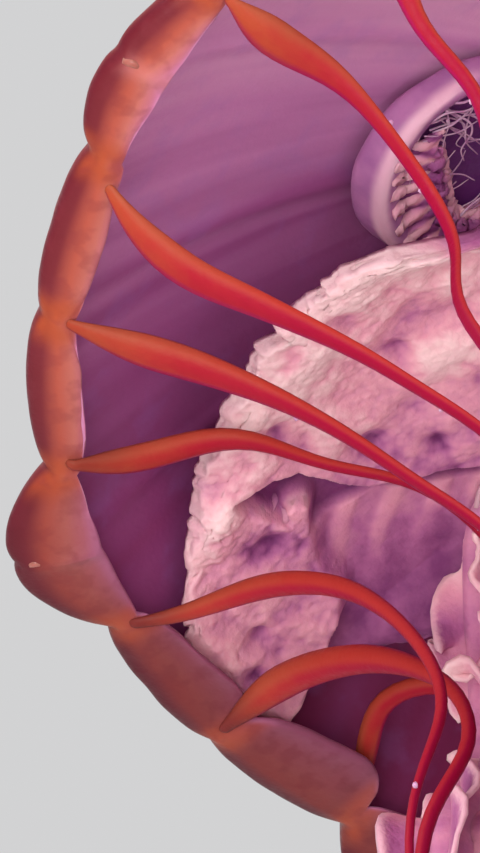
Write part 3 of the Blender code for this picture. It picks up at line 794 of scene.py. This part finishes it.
def sphere_radius():
    return INNER_RHO / math.sin(math.radians(MARGIN_ANGLE))


def wall_point(angle, outer):
    """(rho, height) on the wall at an angle from the axis, in bell radii."""
    share = angle / MARGIN_ANGLE
    thickness = WALL_MARGIN + WALL_APEX_EXTRA * (1.0 - share * share) if outer else 0.0
    radius = sphere_radius() + thickness
    drop = sphere_radius() * math.cos(math.radians(MARGIN_ANGLE))
    return radius * math.sin(math.radians(angle)), radius * math.cos(math.radians(angle)) - drop


def ceiling_height(rho):
    """Height of the bell's inner surface above the margin plane."""
    radius = sphere_radius()
    return np.sqrt(radius * radius - rho * rho) - radius * math.cos(math.radians(MARGIN_ANGLE))


def lappet_share(azimuth):
    """0 in a cleft, 1 at the middle of a lappet, less at the small ones by a sense organ."""
    place = azimuth % OCTANT
    share = np.zeros_like(place)
    for start, end in zip(CLEFTS, CLEFTS[1:]):
        across = np.clip(2.0 * (place - start) / (end - start) - 1.0, -1.0, 1.0)
        size = SMALL_LAPPET_SHARE if start == 0.0 or end == OCTANT else 1.0
        share = np.maximum(share, size * (1.0 - across ** 4))
    return share


def low_side(azimuth):
    """1 on the side of the bell that hangs lowest, -1 on the opposite side."""
    return np.cos(np.radians(azimuth - CURL_AZIMUTH))


def from_sense_organ(azimuth):
    """Degrees to the nearest sense organ."""
    return np.minimum(azimuth % OCTANT, OCTANT - azimuth % OCTANT)


def full_reach(azimuth):
    """How far a lappet's free edge stands in at most; the ones on the low side curl in more."""
    size = np.where(from_sense_organ(azimuth) < CLEFTS[1], SMALL_LAPPET_REACH, 1.0)
    return LAPPET_REACH * size * (1.0 + CURL_EXTRA * np.exp(4.0 * low_side(azimuth)))


def lappet_reach(azimuth):
    return full_reach(azimuth) * lappet_share(azimuth)


def margin_bulge(azimuth):
    """How far the rim stands out: most at a sense organ, a little at each lappet."""
    swell = np.maximum(0.0, 1.0 - (from_sense_organ(azimuth) / CLEFTS[1]) ** 2)
    fullness = np.maximum(0.15, 0.56 + 0.78 * low_side(azimuth))
    return SENSE_BULGE * fullness * swell + LAPPET_BULGE * lappet_share(azimuth)


def control_points(azimuth, pairs):
    """(rho, height) pairs, each the same all round or an array, as points at every azimuth."""
    return np.array([[value + 0.0 * azimuth for value in pair] for pair in pairs]).transpose(0, 2, 1)


def margin_section(azimuth):
    """(rho, height) of the ten points round the margin, from the outside to the lappet's pocket."""
    share = lappet_share(azimuth)
    bulge = margin_bulge(azimuth)
    edge = CLEFT_RHO - lappet_reach(azimuth) - CLEFT_FILL * full_reach(azimuth) * (1.0 - share)
    return control_points(azimuth, (
        wall_point(OUTER_START, True),
        (0.982 + 0.5 * bulge, 0.038),
        (1.000 + bulge, 0.010),
        (0.994 + bulge, -0.014),
        (0.980 - 0.030 * share + 0.4 * bulge, -0.026),
        (edge, -0.021),
        (edge + 0.003, -0.011),
        (0.975 - 0.015 * share, -0.006),
        (0.977, 0.010),
        wall_point(INNER_START, False),
    ))


def bell_section(azimuth):
    """(rho, height) rows from the outer apex to the inner apex, and each row's place in the section."""
    def wall(angles, outer):
        return [np.tile(wall_point(angle, outer), (len(azimuth), 1)) for angle in angles]

    control = margin_section(azimuth)
    before = wall((OUTER_START - 5.0,), True)[0]
    after = wall((INNER_START - 3.0,), False)[0]
    control = np.concatenate((before[None], control, after[None]))
    rows = wall(np.linspace(1.5, OUTER_START, OUTER_ROWS, endpoint=False), True)
    places = list(np.linspace(0.0, 0.1, OUTER_ROWS, endpoint=False))
    spans = len(control) - 3
    for span in range(spans):
        for share in np.arange(SPAN_ROWS) / SPAN_ROWS:
            rows.append(spline(*control[span:span + 4], share))
            places.append(0.1 + 0.8 * (span + share) / spans)
    rows += wall(np.linspace(INNER_START, 1.5, INNER_ROWS), False)
    places += list(np.linspace(0.9, 1.0, INNER_ROWS))
    return np.array(rows), np.array(places)


def add_bell(skin):
    azimuth = np.linspace(0.0, 360.0, BELL_AZIMUTHS, endpoint=False)
    section, place = bell_section(azimuth)
    rho, height = section[..., 0], section[..., 1]
    place = place[:, None]
    share = lappet_share(azimuth)
    flap = hump(place - 0.51, 0.07)
    circle = np.stack((np.cos(np.radians(azimuth)), np.sin(np.radians(azimuth))), axis=-1)
    around = np.concatenate((np.broadcast_to(circle, (*rho.shape, 2)), rho[..., None]), axis=-1)
    height = height + flap * 0.005 * noise(around, 0.07, 1) * np.sqrt(share)
    rho = rho + flap * 0.004 * noise(around, 0.05, 2)
    hinge, lip = hump(place - 0.415, 0.022), hump(place - 0.555, 0.022)
    height = height + share * (0.004 * hump(place - 0.49, 0.035) - 0.003 * hinge - 0.003 * lip)
    organ = hump(from_sense_organ(azimuth), 0.8)
    organ = organ * smooth((place - 0.33) / 0.05) * smooth((0.60 - place) / 0.05)
    from_septum = np.abs((azimuth + 180.0 / SEPTA) % (360.0 / SEPTA) - 180.0 / SEPTA)
    septum = hump(from_septum * rho, 0.9)
    height = height - 0.004 * organ
    height = height - smooth((place - 0.88) / 0.03) * 0.006 * septum * smooth((rho - 0.35) / 0.3)
    points = world(rho, azimuth, -height)
    points = grown(points, 0.35 * MM * noise(points, 11 * MM, 3) + 0.12 * MM * noise(points, 4 * MM, 4))
    radial = around * np.array((1.0, 1.0, 0.10))
    streak = 0.6 * noise(radial, 0.045, 5) + 0.4 * noise(radial, 0.016, 6)
    at_cleft = np.min([np.abs(azimuth % OCTANT - cleft) for cleft in CLEFTS[1:-1]], axis=0)
    # low is 1 on the side that hangs lowest; the bell's paint darkens that side as painted shade.
    skin.grid(points, BELL_MAP, section=place, cleft=hump(at_cleft, 2.4), rho=rho, organ=organ,
              low=0.5 + 0.5 * low_side(azimuth), streak=streak + 0.8 * septum)


# The stomach

def pouch_rho(azimuth):
    """The stomach's outline: four pouches that lie against the bell's ceiling."""
    lobe = np.maximum(0.0, np.cos(np.radians(4.0 * (azimuth - POUCH_AZIMUTH))))
    return WAIST_RHO + (POUCH_RHO - WAIST_RHO) * lobe ** POUCH_SQUARENESS


def add_stomach(skin):
    azimuth = np.linspace(0.0, 360.0, 200, endpoint=False)
    outline = pouch_rho(azimuth)
    halfway = 0.5 * (0.88 * outline + NECK_RHO)
    ceiling = ceiling_height(outline) - CEILING_GAP
    pairs = [(share * outline, ceiling_height(share * outline) - CEILING_GAP)
             for share in (0.05, 0.35, 0.66, 0.92)]
    control = control_points(azimuth, (
        *pairs,
        (outline, ceiling - 0.4 * POUCH_THICKNESS),
        (0.90 * outline, ceiling - POUCH_THICKNESS),
        (halfway, ceiling_height(halfway) - CEILING_GAP - 1.15 * POUCH_THICKNESS),
        (NECK_RHO, ceiling_height(NECK_RHO) - 1.7 * POUCH_THICKNESS),
        (STOMACH_RHO, 0.02 - MOUTH_DEPTH),
        (STOMACH_RHO - 0.015, -MOUTH_DEPTH),
        (0.10, -MOUTH_DEPTH),
    ))
    place = np.linspace(0.0, len(control) - 1.0, 66)
    low = np.minimum(place.astype(int), len(control) - 2)
    padded = np.concatenate((control[:1], control, control[-1:]))
    section = spline(*(padded[low + step] for step in range(4)), (place - low)[:, None, None])
    rho, height = section[..., 0], section[..., 1]
    under = (smooth((place - 4.0) / 0.8) * smooth(8.5 - place))[:, None]
    from_ring = ring_distance(rho, azimuth)
    rim = hump(from_ring - RING_RADIUS, 0.010) * under
    pit = smooth((RING_RADIUS - 0.012 - from_ring) / 0.03) * under
    points = world(rho, azimuth, 0.014 * rim - 0.028 * pit - height)
    points = grown(points, 0.4 * MM * noise(points, 7 * MM, 6))
    skin.grid(points, STOMACH_MAP, surface=1, pit=pit, rim=rim)


def ring_distance(rho, azimuth):
    """Distance in the margin plane from the middle of the nearest subgenital pit, in bell radii."""
    turn = np.radians((azimuth - POUCH_AZIMUTH + 45.0) % 90.0 - 45.0)
    return np.hypot(rho * np.cos(turn) - RING_RHO, rho * np.sin(turn))


# Tentacles

def tentacle_azimuth(index):
    return OCTANT * (index // 3) + CLEFTS[1 + index % 3]


def root_azimuth(index):
    return tentacle_azimuth(index) + ROOT_TURNS.get(index, 0.0)


def inward_run(index):
    """Where a tentacle runs before it hangs; the rule for the ones without a run of their own."""
    if index in INWARD_RUNS:
        return INWARD_RUNS[index]
    azimuth = tentacle_azimuth(index)
    reach = 0.70 + 0.05 * wobble(index)
    swing = 3.0 * wobble(index, 1)
    sink = 0.03 * wobble(index, 2)
    return (
        (0.89, azimuth + 0.3 * swing, 0.05),
        (0.79, azimuth + 0.7 * swing, 0.10 + sink),
        (reach, azimuth + swing, 0.24 + sink),
    )


def tentacle_line(index):
    """From the cleft in the margin, in over the bell's mouth, then down."""
    azimuth = root_azimuth(index)
    rho, depth = POCKET_ROOTS.get(index, ROOT)
    points = [world(rho, azimuth, depth)]
    points += [world(*place) for place in inward_run(index)]
    tip_height = LOWEST_TIP + TIP_SPREAD * (1.0 + wobble(index, 3)) / 2.0
    points += hanging_points(points[-1], tip_height, 0.012 + 0.008 * wobble(index, 4))
    return catmull_rom(points)


def tentacle_half_width(index, distance, total):
    """Narrow at the root, swollen just after it, then a long taper."""
    ordinary = (0.8 + 0.15 * wobble(index, 5), PEAK_AT, 45 * MM)
    stoutness, peak_at, thinning = TENTACLE_BUILD.get(index, ordinary)
    peak = PEAK_HALF_WIDTH * stoutness
    slender = TIP_HALF_WIDTH + (SLENDER_SHARE * peak - TIP_HALF_WIDTH) * (1.0 - distance / total)
    beyond = np.maximum(distance - peak_at, 0.0)
    taper = slender + (peak - slender) * hump(beyond, thinning)
    swelling = ROOT_HALF_WIDTH + (peak - ROOT_HALF_WIDTH) * smooth((distance / peak_at) ** 0.7)
    return np.where(distance < peak_at, swelling, taper)


def add_tentacle(skin, index):
    azimuth = root_azimuth(index)
    line = softened(tentacle_line(index))
    total = full_length(line)
    buried = IN_POCKET_WALL if index in POCKET_ROOTS else IN_FLESH
    lead = catmull_rom([*(world(rho, azimuth, depth) for rho, depth in buried), line[0], line[6]])
    lead = lead[:2 * len(lead) // 3]
    before = full_length(np.concatenate((lead, line[:1])))
    distance = np.concatenate((np.linspace(-before, 0.0, ROOT_ROWS, endpoint=False),
                               total * np.linspace(0.0, 1.0, TENTACLE_ROWS) ** 1.35))
    frames = frames_along(np.concatenate((lead, line)), before + distance, tangent(azimuth))
    half_width = tentacle_half_width(index, np.maximum(distance, 0.0), total)
    half_width = half_width * (1.0 - 0.25 * smooth((1.0 * MM - distance) / (3 * MM)))
    half_width = half_width * (1.0 + 0.06 * np.sin(distance / (9 * MM) + index) * smooth(distance / 0.04))
    half_width[-1] *= 0.3
    low = float(smooth(1.25 * low_side(azimuth)))
    flatness = TENTACLE_FLATNESS + (LOW_SIDE_FLATNESS - TENTACLE_FLATNESS) * low * smooth(distance / (6 * MM))
    half_thickness = np.maximum(flatness * half_width, LEAST_HALF_THICKNESS)
    points = tube(frames, half_width, half_thickness, TENTACLE_SIDES)
    patch = (index / TENTACLES, 0.0, (index + 0.8) / TENTACLES, TENTACLES_TOP)
    skin.grid(points, patch, surface=2, low=low, along=distance[:, None] / 0.30,
              across=np.cos(turns(TENTACLE_SIDES)))


# Oral arms

def arm_azimuth(index):
    return FIRST_ARM_AZIMUTH + index * 360.0 / ARMS


def arm_line(index):
    """From the mouth, out under the stomach, then down."""
    azimuth = arm_azimuth(index)
    points = [world(ARM_ROOT_RHO, azimuth, MOUTH_DEPTH - 0.01)]
    points.append(world(ARM_ROOT_RHO, azimuth, MOUTH_DEPTH + 0.03))
    points += [world(*place) for place in ARM_RUNS[index]]
    points += hanging_points(points[-1], ARM_TIP_HEIGHTS[index], 0.010)
    return catmull_rom(points)


def frill_share(index, share):
    """The first arm's own frills stay narrow where its billow is, but for one lobe, and then widen."""
    return np.interp(share, *FIRST_ARM_FRILL) if index == 0 else np.ones_like(share)


def arm_half_width(index, share):
    """A short stalk, a full frill, then a long taper."""
    full = ARM_HALF_WIDTHS[index]
    opening = STALK_HALF_WIDTH + (full - STALK_HALF_WIDTH) * smooth(share / FULL_SHARE)
    taper = 1.0 - smooth((share - FULL_SHARE) / (1.0 - FULL_SHARE))
    closing = ARM_TIP_HALF_WIDTH + (full - ARM_TIP_HALF_WIDTH) * taper ** 0.8
    return np.where(share < FULL_SHARE, opening, closing)


def arm_frames(index, share):
    """Frames at shares of an arm's length, and the distances to them."""
    line = arm_line(index)
    distances = share * full_length(line)
    return frames_along(line, distances, tangent(arm_azimuth(index)), ARM_TWIST), distances


def add_arm_rib(piece, index, patch):
    """The thick midrib that carries an arm's frills."""
    share = np.linspace(0.0, 1.0, 120)
    half_width = 1.2 * MM + 0.22 * arm_half_width(index, share)
    points = tube(arm_frames(index, share)[0], half_width, 0.6 * half_width, 10)
    piece.grid(points, patch, crest=0.45, edge=0.0)


def add_frill(piece, index, rotation, series, patch):
    """A sheet along an arm, ruffled more and more towards its two free edges."""
    rows = int(full_length(arm_line(index)) / FRILL_STEP)
    share = np.linspace(0.02, 0.995, rows)
    (points, along, across, normal), travel = arm_frames(index, share)
    turn = math.radians(rotation)
    across, normal = (across * math.cos(turn) + normal * math.sin(turn),
                      normal * math.cos(turn) - across * math.sin(turn))
    width = (arm_half_width(index, share) * frill_share(index, share))[:, None]
    v = np.linspace(-1.0, 1.0, FRILL_COLUMNS)[None]
    out = np.abs(v)
    side = np.sign(v)
    travel = travel[:, None] + 0.0 * v
    spot = np.stack((travel, side * 0.5 + 0.0 * travel, np.full_like(travel, series)), axis=-1)
    travel = 2.0 * math.pi * (travel / MM + 5.0 * noise(spot, 26 * MM, series))
    long_wave, mid_wave, short_wave = (travel / length for length in FRILL_WAVES)
    long_wave = long_wave + side * 1.3 + series
    mid_wave = mid_wave + side * 0.7 + 2.0 * series
    short_wave = short_wave + series
    lift = width * (0.40 * out ** 1.5 * np.sin(long_wave) + 0.24 * out ** 2.5 * np.sin(mid_wave)
                    + 0.07 * out ** 5 * np.sin(short_wave))
    slide = width * (0.26 * out ** 2 * np.sin(2.0 * long_wave) + 0.12 * out ** 3 * np.cos(mid_wave))
    reach = width * v * (1.0 - 0.16 * out ** 2 * np.cos(mid_wave) - 0.10 * out * np.cos(long_wave))
    sheet = offset_grid(points, (across, reach), (normal, lift), (along, slide))
    closed = two_sided(sheet, (0.9 - 0.25 * out) * MM)
    outer = out + 0.0 * travel
    closed = grown(closed, 0.45 * MM * lumps(closed, 1.7 * MM, series) * mirrored(outer) ** 2)
    # crest follows the ruffles' lift, paler where the sheet rises and darker where it dips: painted shade in
    # the folds.
    crest = 0.56 + 0.28 * np.sin(long_wave) * out + 0.20 * np.sin(mid_wave) * out ** 2
    piece.grid(closed, patch, crest=mirrored(crest), edge=mirrored(outer ** 3))


def hollow_share(rho, azimuth, place):
    """1 in the middle of a hollow of the billow, and less away from it."""
    middle_rho, middle_azimuth, size = place
    across = np.radians(azimuth - middle_azimuth) * 0.5 * (rho + middle_rho)
    return hump(np.hypot(rho - middle_rho, across), 1.2 * size)


def billow_parts(rho, azimuth, spot):
    """Shares of full pale lobe and of thin ribbed veil, and how near its top each place of the veil is."""
    ragged = noise(spot, 0.10, BILLOW_SERIES + 8) + 0.5 * noise(spot, 0.035, BILLOW_SERIES + 9)
    upper = smooth((azimuth - np.interp(rho, *UPPER_FOOT) + 0.7 * ragged) / 2.8 + 0.5)
    rim = smooth((rho - UPPER_FOOT[0][-1] + 0.006 * ragged) / 0.014 + 0.5) * (azimuth > -6.0)
    from_top = np.interp(rho, *VEIL_TOP) - azimuth
    side = smooth((from_top + 0.25 * ragged) / 3.0 + 0.5)
    side = side * smooth((rho - np.interp(azimuth, *LOBE_END) + 0.006 * ragged) / 0.036 + 0.5)
    (first_rho, first), (last_rho, last) = FINGER
    along = np.clip((first - azimuth) / (first - last), 0.0, 1.0)
    past = np.radians(np.maximum(azimuth - first, last - azimuth).clip(0.0)) * rho
    aside = rho - first_rho - (last_rho - first_rho) * along + 0.004 * ragged
    finger = smooth(1.6 - np.hypot(aside, past) / 0.018)
    body = np.maximum.reduce((upper, rim, side, finger))
    veil = smooth((from_top + 0.2 * ragged) / 1.2 + 0.5) * (1.0 - body)
    return body, veil, smooth(1.0 - from_top / 15.0)


def add_billow(piece):
    """The first arm's broad sheet, spread out like a fan inside the bell, its lobes thick and granular."""
    series = BILLOW_SERIES
    u = np.linspace(0.0, 1.0, BILLOW_ROWS)[:, None]
    v = np.linspace(0.0, 1.0, BILLOW_COLUMNS)[None] ** 0.85
    azimuth = BILLOW_SPAN[0] + (BILLOW_SPAN[1] - BILLOW_SPAN[0]) * u + 0.0 * v
    spot = np.stack((azimuth / 57.3, v + 0.0 * u, np.full_like(azimuth, 0.37 * series)), axis=-1)
    from_side = 1.0 - np.abs(2.0 * u - 1.0)
    within = smooth(from_side / 0.10)
    azimuth = azimuth + 0.8 * noise(spot, 0.12, series) * smooth(v / 0.4) * within
    teeth = (0.012 * noise(spot, 0.075, series + 3) + 0.009 * noise(spot, 0.030, series + 4)
             + 0.0085 * noise(spot, 0.012, series + 5))
    edge = np.interp(azimuth, *FREE_EDGE) + teeth * smooth((v - 0.85) / 0.15)
    rho = BILLOW_START + (edge - BILLOW_START) * v
    body, veil, near_top = billow_parts(rho, azimuth, spot)
    body = body * within

    rib_phase = 2.0 * math.pi * (rho + RIB_SLANT * azimuth) / RIB_SPACING
    rib = smooth(0.5 + 0.5 * np.sin(rib_phase + 1.2 * noise(spot, 0.12, series + 6))) ** 2 * near_top
    wavering = rho + 0.006 * noise(spot, 0.05, series + 13)
    hollow = np.maximum.reduce([hollow_share(wavering, azimuth, place) for place in HOLLOWS])
    fold = noise(spot, 0.085, series + 7)
    crease = 1.0 - np.abs(noise(spot, 0.11, series + 10)) ** 0.7
    rise = body * (0.034 + 0.008 * fold + 0.005 * crease - 0.010 * hollow) + veil * (0.012 + 0.004 * rib)
    rounding = 0.012 * smooth((v - 0.975) / 0.025) ** 2
    room = np.maximum(ceiling_height(rho) - 0.016, 0.0)
    dome = 0.05 * np.sin(math.pi * np.minimum(v * 1.1, 1.0))
    low = np.maximum(-dome - 0.090, -room)
    depth = low + rise - np.minimum(rounding, 0.5 * (low + room) + rise)
    depth = np.minimum(depth, np.interp(rho, *ABOVE_LAPPETS)) - 0.03 * (1.0 - smooth(from_side / 0.03))
    front = world(rho, azimuth, depth)

    out = smooth((v - 0.45) / 0.45)
    large, middle, small = (rounded_lumps(front, size * MM, series + size) for size in BILLOW_LUMPS)
    soft = noise(front, 5 * MM, series + 12)
    growth = body * (0.9 * large + 0.5 * soft + (0.28 + 0.26 * out) * middle + (0.24 + 0.26 * out) * small)
    growth = growth * (1.0 - 0.7 * hollow) * smooth((1.0 - v) / 0.010)
    growth = growth * np.interp(rho, (0.88, 0.92), (1.0, 0.3))
    axis = BELL[:3, 2]
    normal = sheet_normals(front)
    growth = MM * growth * smooth(2.2 * np.maximum(normal @ axis, 0.0) - 0.9)
    front = front - unit(0.4 * normal + axis) * growth[..., None]
    back = front + BILLOW_THICKNESS * axis
    closed = np.concatenate((front, back[:, ::-BILLOW_BACK_STEP]), axis=1)

    # The lobes' grain, lighter on lumps, folds and creases: partly their own texture, partly painted shade
    # that follows the relief.
    granular = 0.22 * (large + middle - 1.2) + 0.12 * soft + 0.16 * (small - 0.6)
    granular = granular + 0.13 * fold + 0.08 * crease
    # Painted light: the lobes are lighter towards the free edge and on the upper side of the fan.
    lobe_tone_and_painted_light = 0.32 + 0.18 * smooth((v - 0.55) / 0.4) + 0.40 * smooth((azimuth + 14.0) / 24.0) + granular
    # Painted shade: the hollows are darkened, and the veil darkens away from its top; the veil's ribs are
    # paler.
    crest = body * (lobe_tone_and_painted_light - 0.42 * hollow) + veil * (0.22 + 0.22 * near_top + 0.18 * rib)
    crest = np.clip(crest + 0.16 * (1.0 - body - veil), 0.0, 1.0)
    piece.grid(closed, WHOLE_MAP, crest=mirrored(crest, BILLOW_BACK_STEP),
               edge=mirrored(v ** 9 * body, BILLOW_BACK_STEP))


# Threads, gonads, sense organs and specks

def add_thread(piece, line, radius, sides, patch):
    line = catmull_rom(line, 5)
    frames = frames_along(line, running_lengths(line), THREAD_SIDE)
    widths = radius * (1.0 - 0.5 * np.linspace(0.0, 1.0, len(line)) ** 2)
    piece.grid(tube(frames, widths, widths, sides), patch)


def patches(count):
    """Equal small boxes of the map, in rows."""
    columns = math.ceil(math.sqrt(count))
    for number in range(count):
        left, bottom = (number % columns) / columns, (number // columns) / columns
        yield left, bottom, left + 0.85 / columns, bottom + 0.85 / columns


def ring_point(pouch, radius, angle, drop):
    """A point over a pouch's pit: polar round its middle, and a drop below the bell's ceiling."""
    x = RING_RHO + radius * math.cos(angle)
    y = radius * math.sin(angle)
    rho = math.hypot(x, y)
    azimuth = POUCH_AZIMUTH + 90.0 * pouch + math.degrees(math.atan2(y, x))
    return world(rho, azimuth, -(float(ceiling_height(rho)) - CEILING_GAP - POUCH_THICKNESS - drop))


def make_threads(material):
    """Gastric threads that cross each pit from its rim."""
    piece = Piece("gastric_threads", "stomach_jelly", [material])
    random = np.random.default_rng(11)
    places = patches(PITS * THREADS_PER_PIT)
    for pouch in range(PITS):
        for _ in range(THREADS_PER_PIT):
            angle = random.uniform(0.0, 2.0 * math.pi)
            radius = RING_RADIUS * random.uniform(0.75, 1.0)
            heading = angle + math.pi + random.normal(0.0, 0.55)
            x, y = radius * math.cos(angle), radius * math.sin(angle)
            line = []
            for _ in range(THREAD_STEPS):
                lift = 0.002 + 0.014 * random.random()
                line.append(ring_point(pouch, math.hypot(x, y), math.atan2(y, x), lift))
                stride = random.uniform(0.014, 0.030)
                x += stride * math.cos(heading)
                y += stride * math.sin(heading)
                if math.hypot(x, y) > RING_RADIUS:
                    x, y = 0.9 * x, 0.9 * y
                heading += random.normal(0.0, 0.5)
            add_thread(piece, line, random.uniform(*THREAD_RADII_MM) * MM, 5, next(places))
    piece.build()


def make_gonads(material):
    """A folded, lumpy ribbon round one side of each pit."""
    piece = Piece("gonads", "stomach_jelly", [material], ("crest", "edge"))
    angles = np.linspace(*GONAD_SPAN, 224)
    v = np.linspace(-1.0, 1.0, 15)
    taper = smooth(np.minimum(angles - GONAD_SPAN[0], GONAD_SPAN[1] - angles) / 0.5)[:, None]
    fold = GONAD_FOLDS * angles[:, None] + 1.2 * v + 0.9 * np.sin(6.0 * angles[:, None])
    width = GONAD_HALF_WIDTH * taper * (1.0 + 0.18 * np.sin(fold)) * v
    lift = 1.5 * MM * taper * (np.sin(fold) * v + 0.5 * np.sin(2.3 * fold + 2.0 * v) * v ** 2)
    slide = 1.2 * MM * taper * v * np.cos(fold)
    for pouch in range(PITS):
        centre = np.array([ring_point(pouch, GONAD_RADIUS + 0.006 * math.sin(5.0 * angle), angle, GONAD_DROP)
                           for angle in angles])
        outward = unit(centre - ring_point(pouch, 0.0, 0.0, GONAD_DROP))
        normal = np.broadcast_to(-BELL[:3, 2], centre.shape)
        along = unit(np.gradient(centre, axis=0))
        sheet = offset_grid(centre, (outward, width), (normal, lift), (along, slide))
        closed = two_sided(sheet, GONAD_THICKNESS * (0.3 + 0.7 * taper))
        closed = grown(closed, 0.7 * MM * lumps(closed, 2.2 * MM, pouch))
        left = pouch / PITS
        patch = (left, 0.0, left + 0.23, 1.0)
        # crest follows the folds: painted shade in their valleys.
        piece.grid(closed, patch, crest=mirrored(0.46 + 0.28 * np.sin(fold)), edge=0.2)
    piece.build()


def make_sense_organs(material):
    """A small pale club that lies on the fold at each rhopalium."""
    piece = Piece("sense_organs", "bell_jelly", [material])
    places = patches(OCTANTS)
    for octant in range(OCTANTS):
        azimuth = OCTANT * octant
        rho = 0.990 + 0.84 * float(margin_bulge(np.array(azimuth)))
        club = [world(rho + 0.006, azimuth, 0.012), world(rho - 0.002, azimuth + 0.3, 0.0195),
                world(rho - 0.014, azimuth + 0.1, 0.0215)]
        add_thread(piece, club, CLUB_RADIUS, 10, next(places))
    piece.build()


def make_specks(material):
    """Small pale granules that cling to the tentacles."""
    piece = Piece("tentacle_specks", "tentacle_jelly", [material])
    random = np.random.default_rng(5)
    places = patches(SPECKS_PER_TENTACLE * TENTACLES)
    angle = turns(8)
    tilt = np.linspace(0.35, math.pi - 0.35, 6)[:, None]
    ball = np.stack(np.broadcast_arrays(np.sin(tilt) * np.cos(angle), np.sin(tilt) * np.sin(angle),
                                        np.cos(tilt)), axis=-1)
    for index in range(TENTACLES):
        line = tentacle_line(index)
        total = full_length(line)
        where = np.sort(random.uniform(SPECKS_FROM, SPECKS_TO, SPECKS_PER_TENTACLE))
        points, _, across, normal = frames_along(line, where, tangent(tentacle_azimuth(index)))
        for point, side, up, distance in zip(points, across, normal, where):
            half = float(tentacle_half_width(index, distance, total))
            turn = random.choice((-1.0, 1.0)) * random.uniform(0.0, 0.5) + random.choice((0.0, math.pi))
            middle = point + side * half * math.cos(turn) + up * half * TENTACLE_FLATNESS * math.sin(turn)
            size = random.uniform(*SPECK_RADII_MM) * MM
            shape = ball * size * (1.0 + 0.25 * noise(ball * 3.0, 1.0, index)[..., None])
            piece.grid(middle + shape, next(places))
    piece.build()


# Assembly

def make_skin():
    values = ("section", "cleft", "low", "rho", "streak", "organ", "pit", "rim", "along", "across")
    skin = Piece("jelly_skin", "bell_jelly", [bell_paint(), stomach_paint(), tentacle_paint()], values)
    add_bell(skin)
    add_stomach(skin)
    for index in range(TENTACLES):
        add_tentacle(skin, index)
    skin.build(*(name for name in frame["nodes"] if not name.startswith("stand_")))


def make_arms(material):
    for index in range(ARMS):
        piece = Piece(f"arm_{index + 1}_frills", "arm_frill", [material], ("crest", "edge"))
        add_arm_rib(piece, index, RIB_MAP)
        for rotation, series, patch in FRILL_SHEETS:
            add_frill(piece, index, rotation, series + 3.0 * index, patch)
        piece.build()
    billow = Piece("arm_1_billow", "arm_frill", [material], ("crest", "edge"))
    add_billow(billow)
    billow.build()


def finish_stand():
    for node, material in (("stand_base", stand_paint()), ("stand_rod", steel_paint())):
        mesh = frame["nodes"][node].data
        mesh.materials.clear()
        mesh.materials.append(material)


def make_floor():
    mesh = bpy.data.meshes.new("floor")
    angle = turns(64)
    ring = np.stack((FLOOR_RADIUS * np.cos(angle), FLOOR_RADIUS * np.sin(angle), 0.0 * angle), axis=-1)
    mesh.from_pydata(ring.tolist(), [], [list(range(len(ring)))])
    mesh.materials.append(floor_paint())
    linked("floor", mesh)


def add_light(name, place, aim, size, power):
    light = bpy.data.lights.new(name, "AREA")
    light.size = size
    light.energy = power
    made = linked(name, light)
    made.location = place
    made.rotation_euler = (Vector(aim) - Vector(place)).to_track_quat("-Z", "Y").to_euler()


def light_scene():
    backdrop = bpy.data.worlds.new("pale_studio")
    backdrop.use_nodes = True
    shade = backdrop.node_tree.nodes["Background"]
    shade.inputs["Color"].default_value = BACKDROP_COLOUR
    shade.inputs["Strength"].default_value = BACKDROP_STRENGTH
    bpy.context.scene.world = backdrop
    for light in LIGHTS:
        add_light(*light)
    bpy.context.scene.view_settings.view_transform = "Standard"


def make_camera():
    """The camera looks up at the bell from below; the aim passes to the left of and under its centre."""
    pitch = math.radians(CAMERA_PITCH)
    toward = Vector((0.0, -math.cos(pitch), -math.sin(pitch)))
    upward = Vector((0.0, -math.sin(pitch), math.cos(pitch)))
    place = Vector(BELL_CENTRE) + toward * CAMERA_DISTANCE
    sideways = Vector((1.0, 0.0, 0.0))
    look = (sideways * AIM_RIGHT + upward * AIM_UP - toward * CAMERA_DISTANCE).normalized()
    right = (sideways - look * look.x).normalized()
    axes = Matrix((right, right.cross(look), -look)).transposed().to_4x4()
    data = bpy.data.cameras.new("camera")
    data.sensor_fit = "VERTICAL"
    data.sensor_height = SENSOR_HEIGHT
    data.lens = SENSOR_HEIGHT * CAMERA_DISTANCE / FRAME_HEIGHT
    camera = linked("camera", data)
    camera.matrix_world = Matrix.Translation(place) @ axes
    bpy.context.scene.camera = camera


make_camera()
make_skin()
frill = frill_paint()
make_arms(frill)
make_gonads(frill)
threads = speckled_paint("pale_threads", 2.5 * MM, (182, 116, 160), (216, 164, 188))
make_threads(threads)
make_sense_organs(speckled_paint("sense_organ", 1.5 * MM, (150, 78, 66), (172, 98, 88)))
make_specks(threads)
finish_stand()
make_floor()
light_scene()
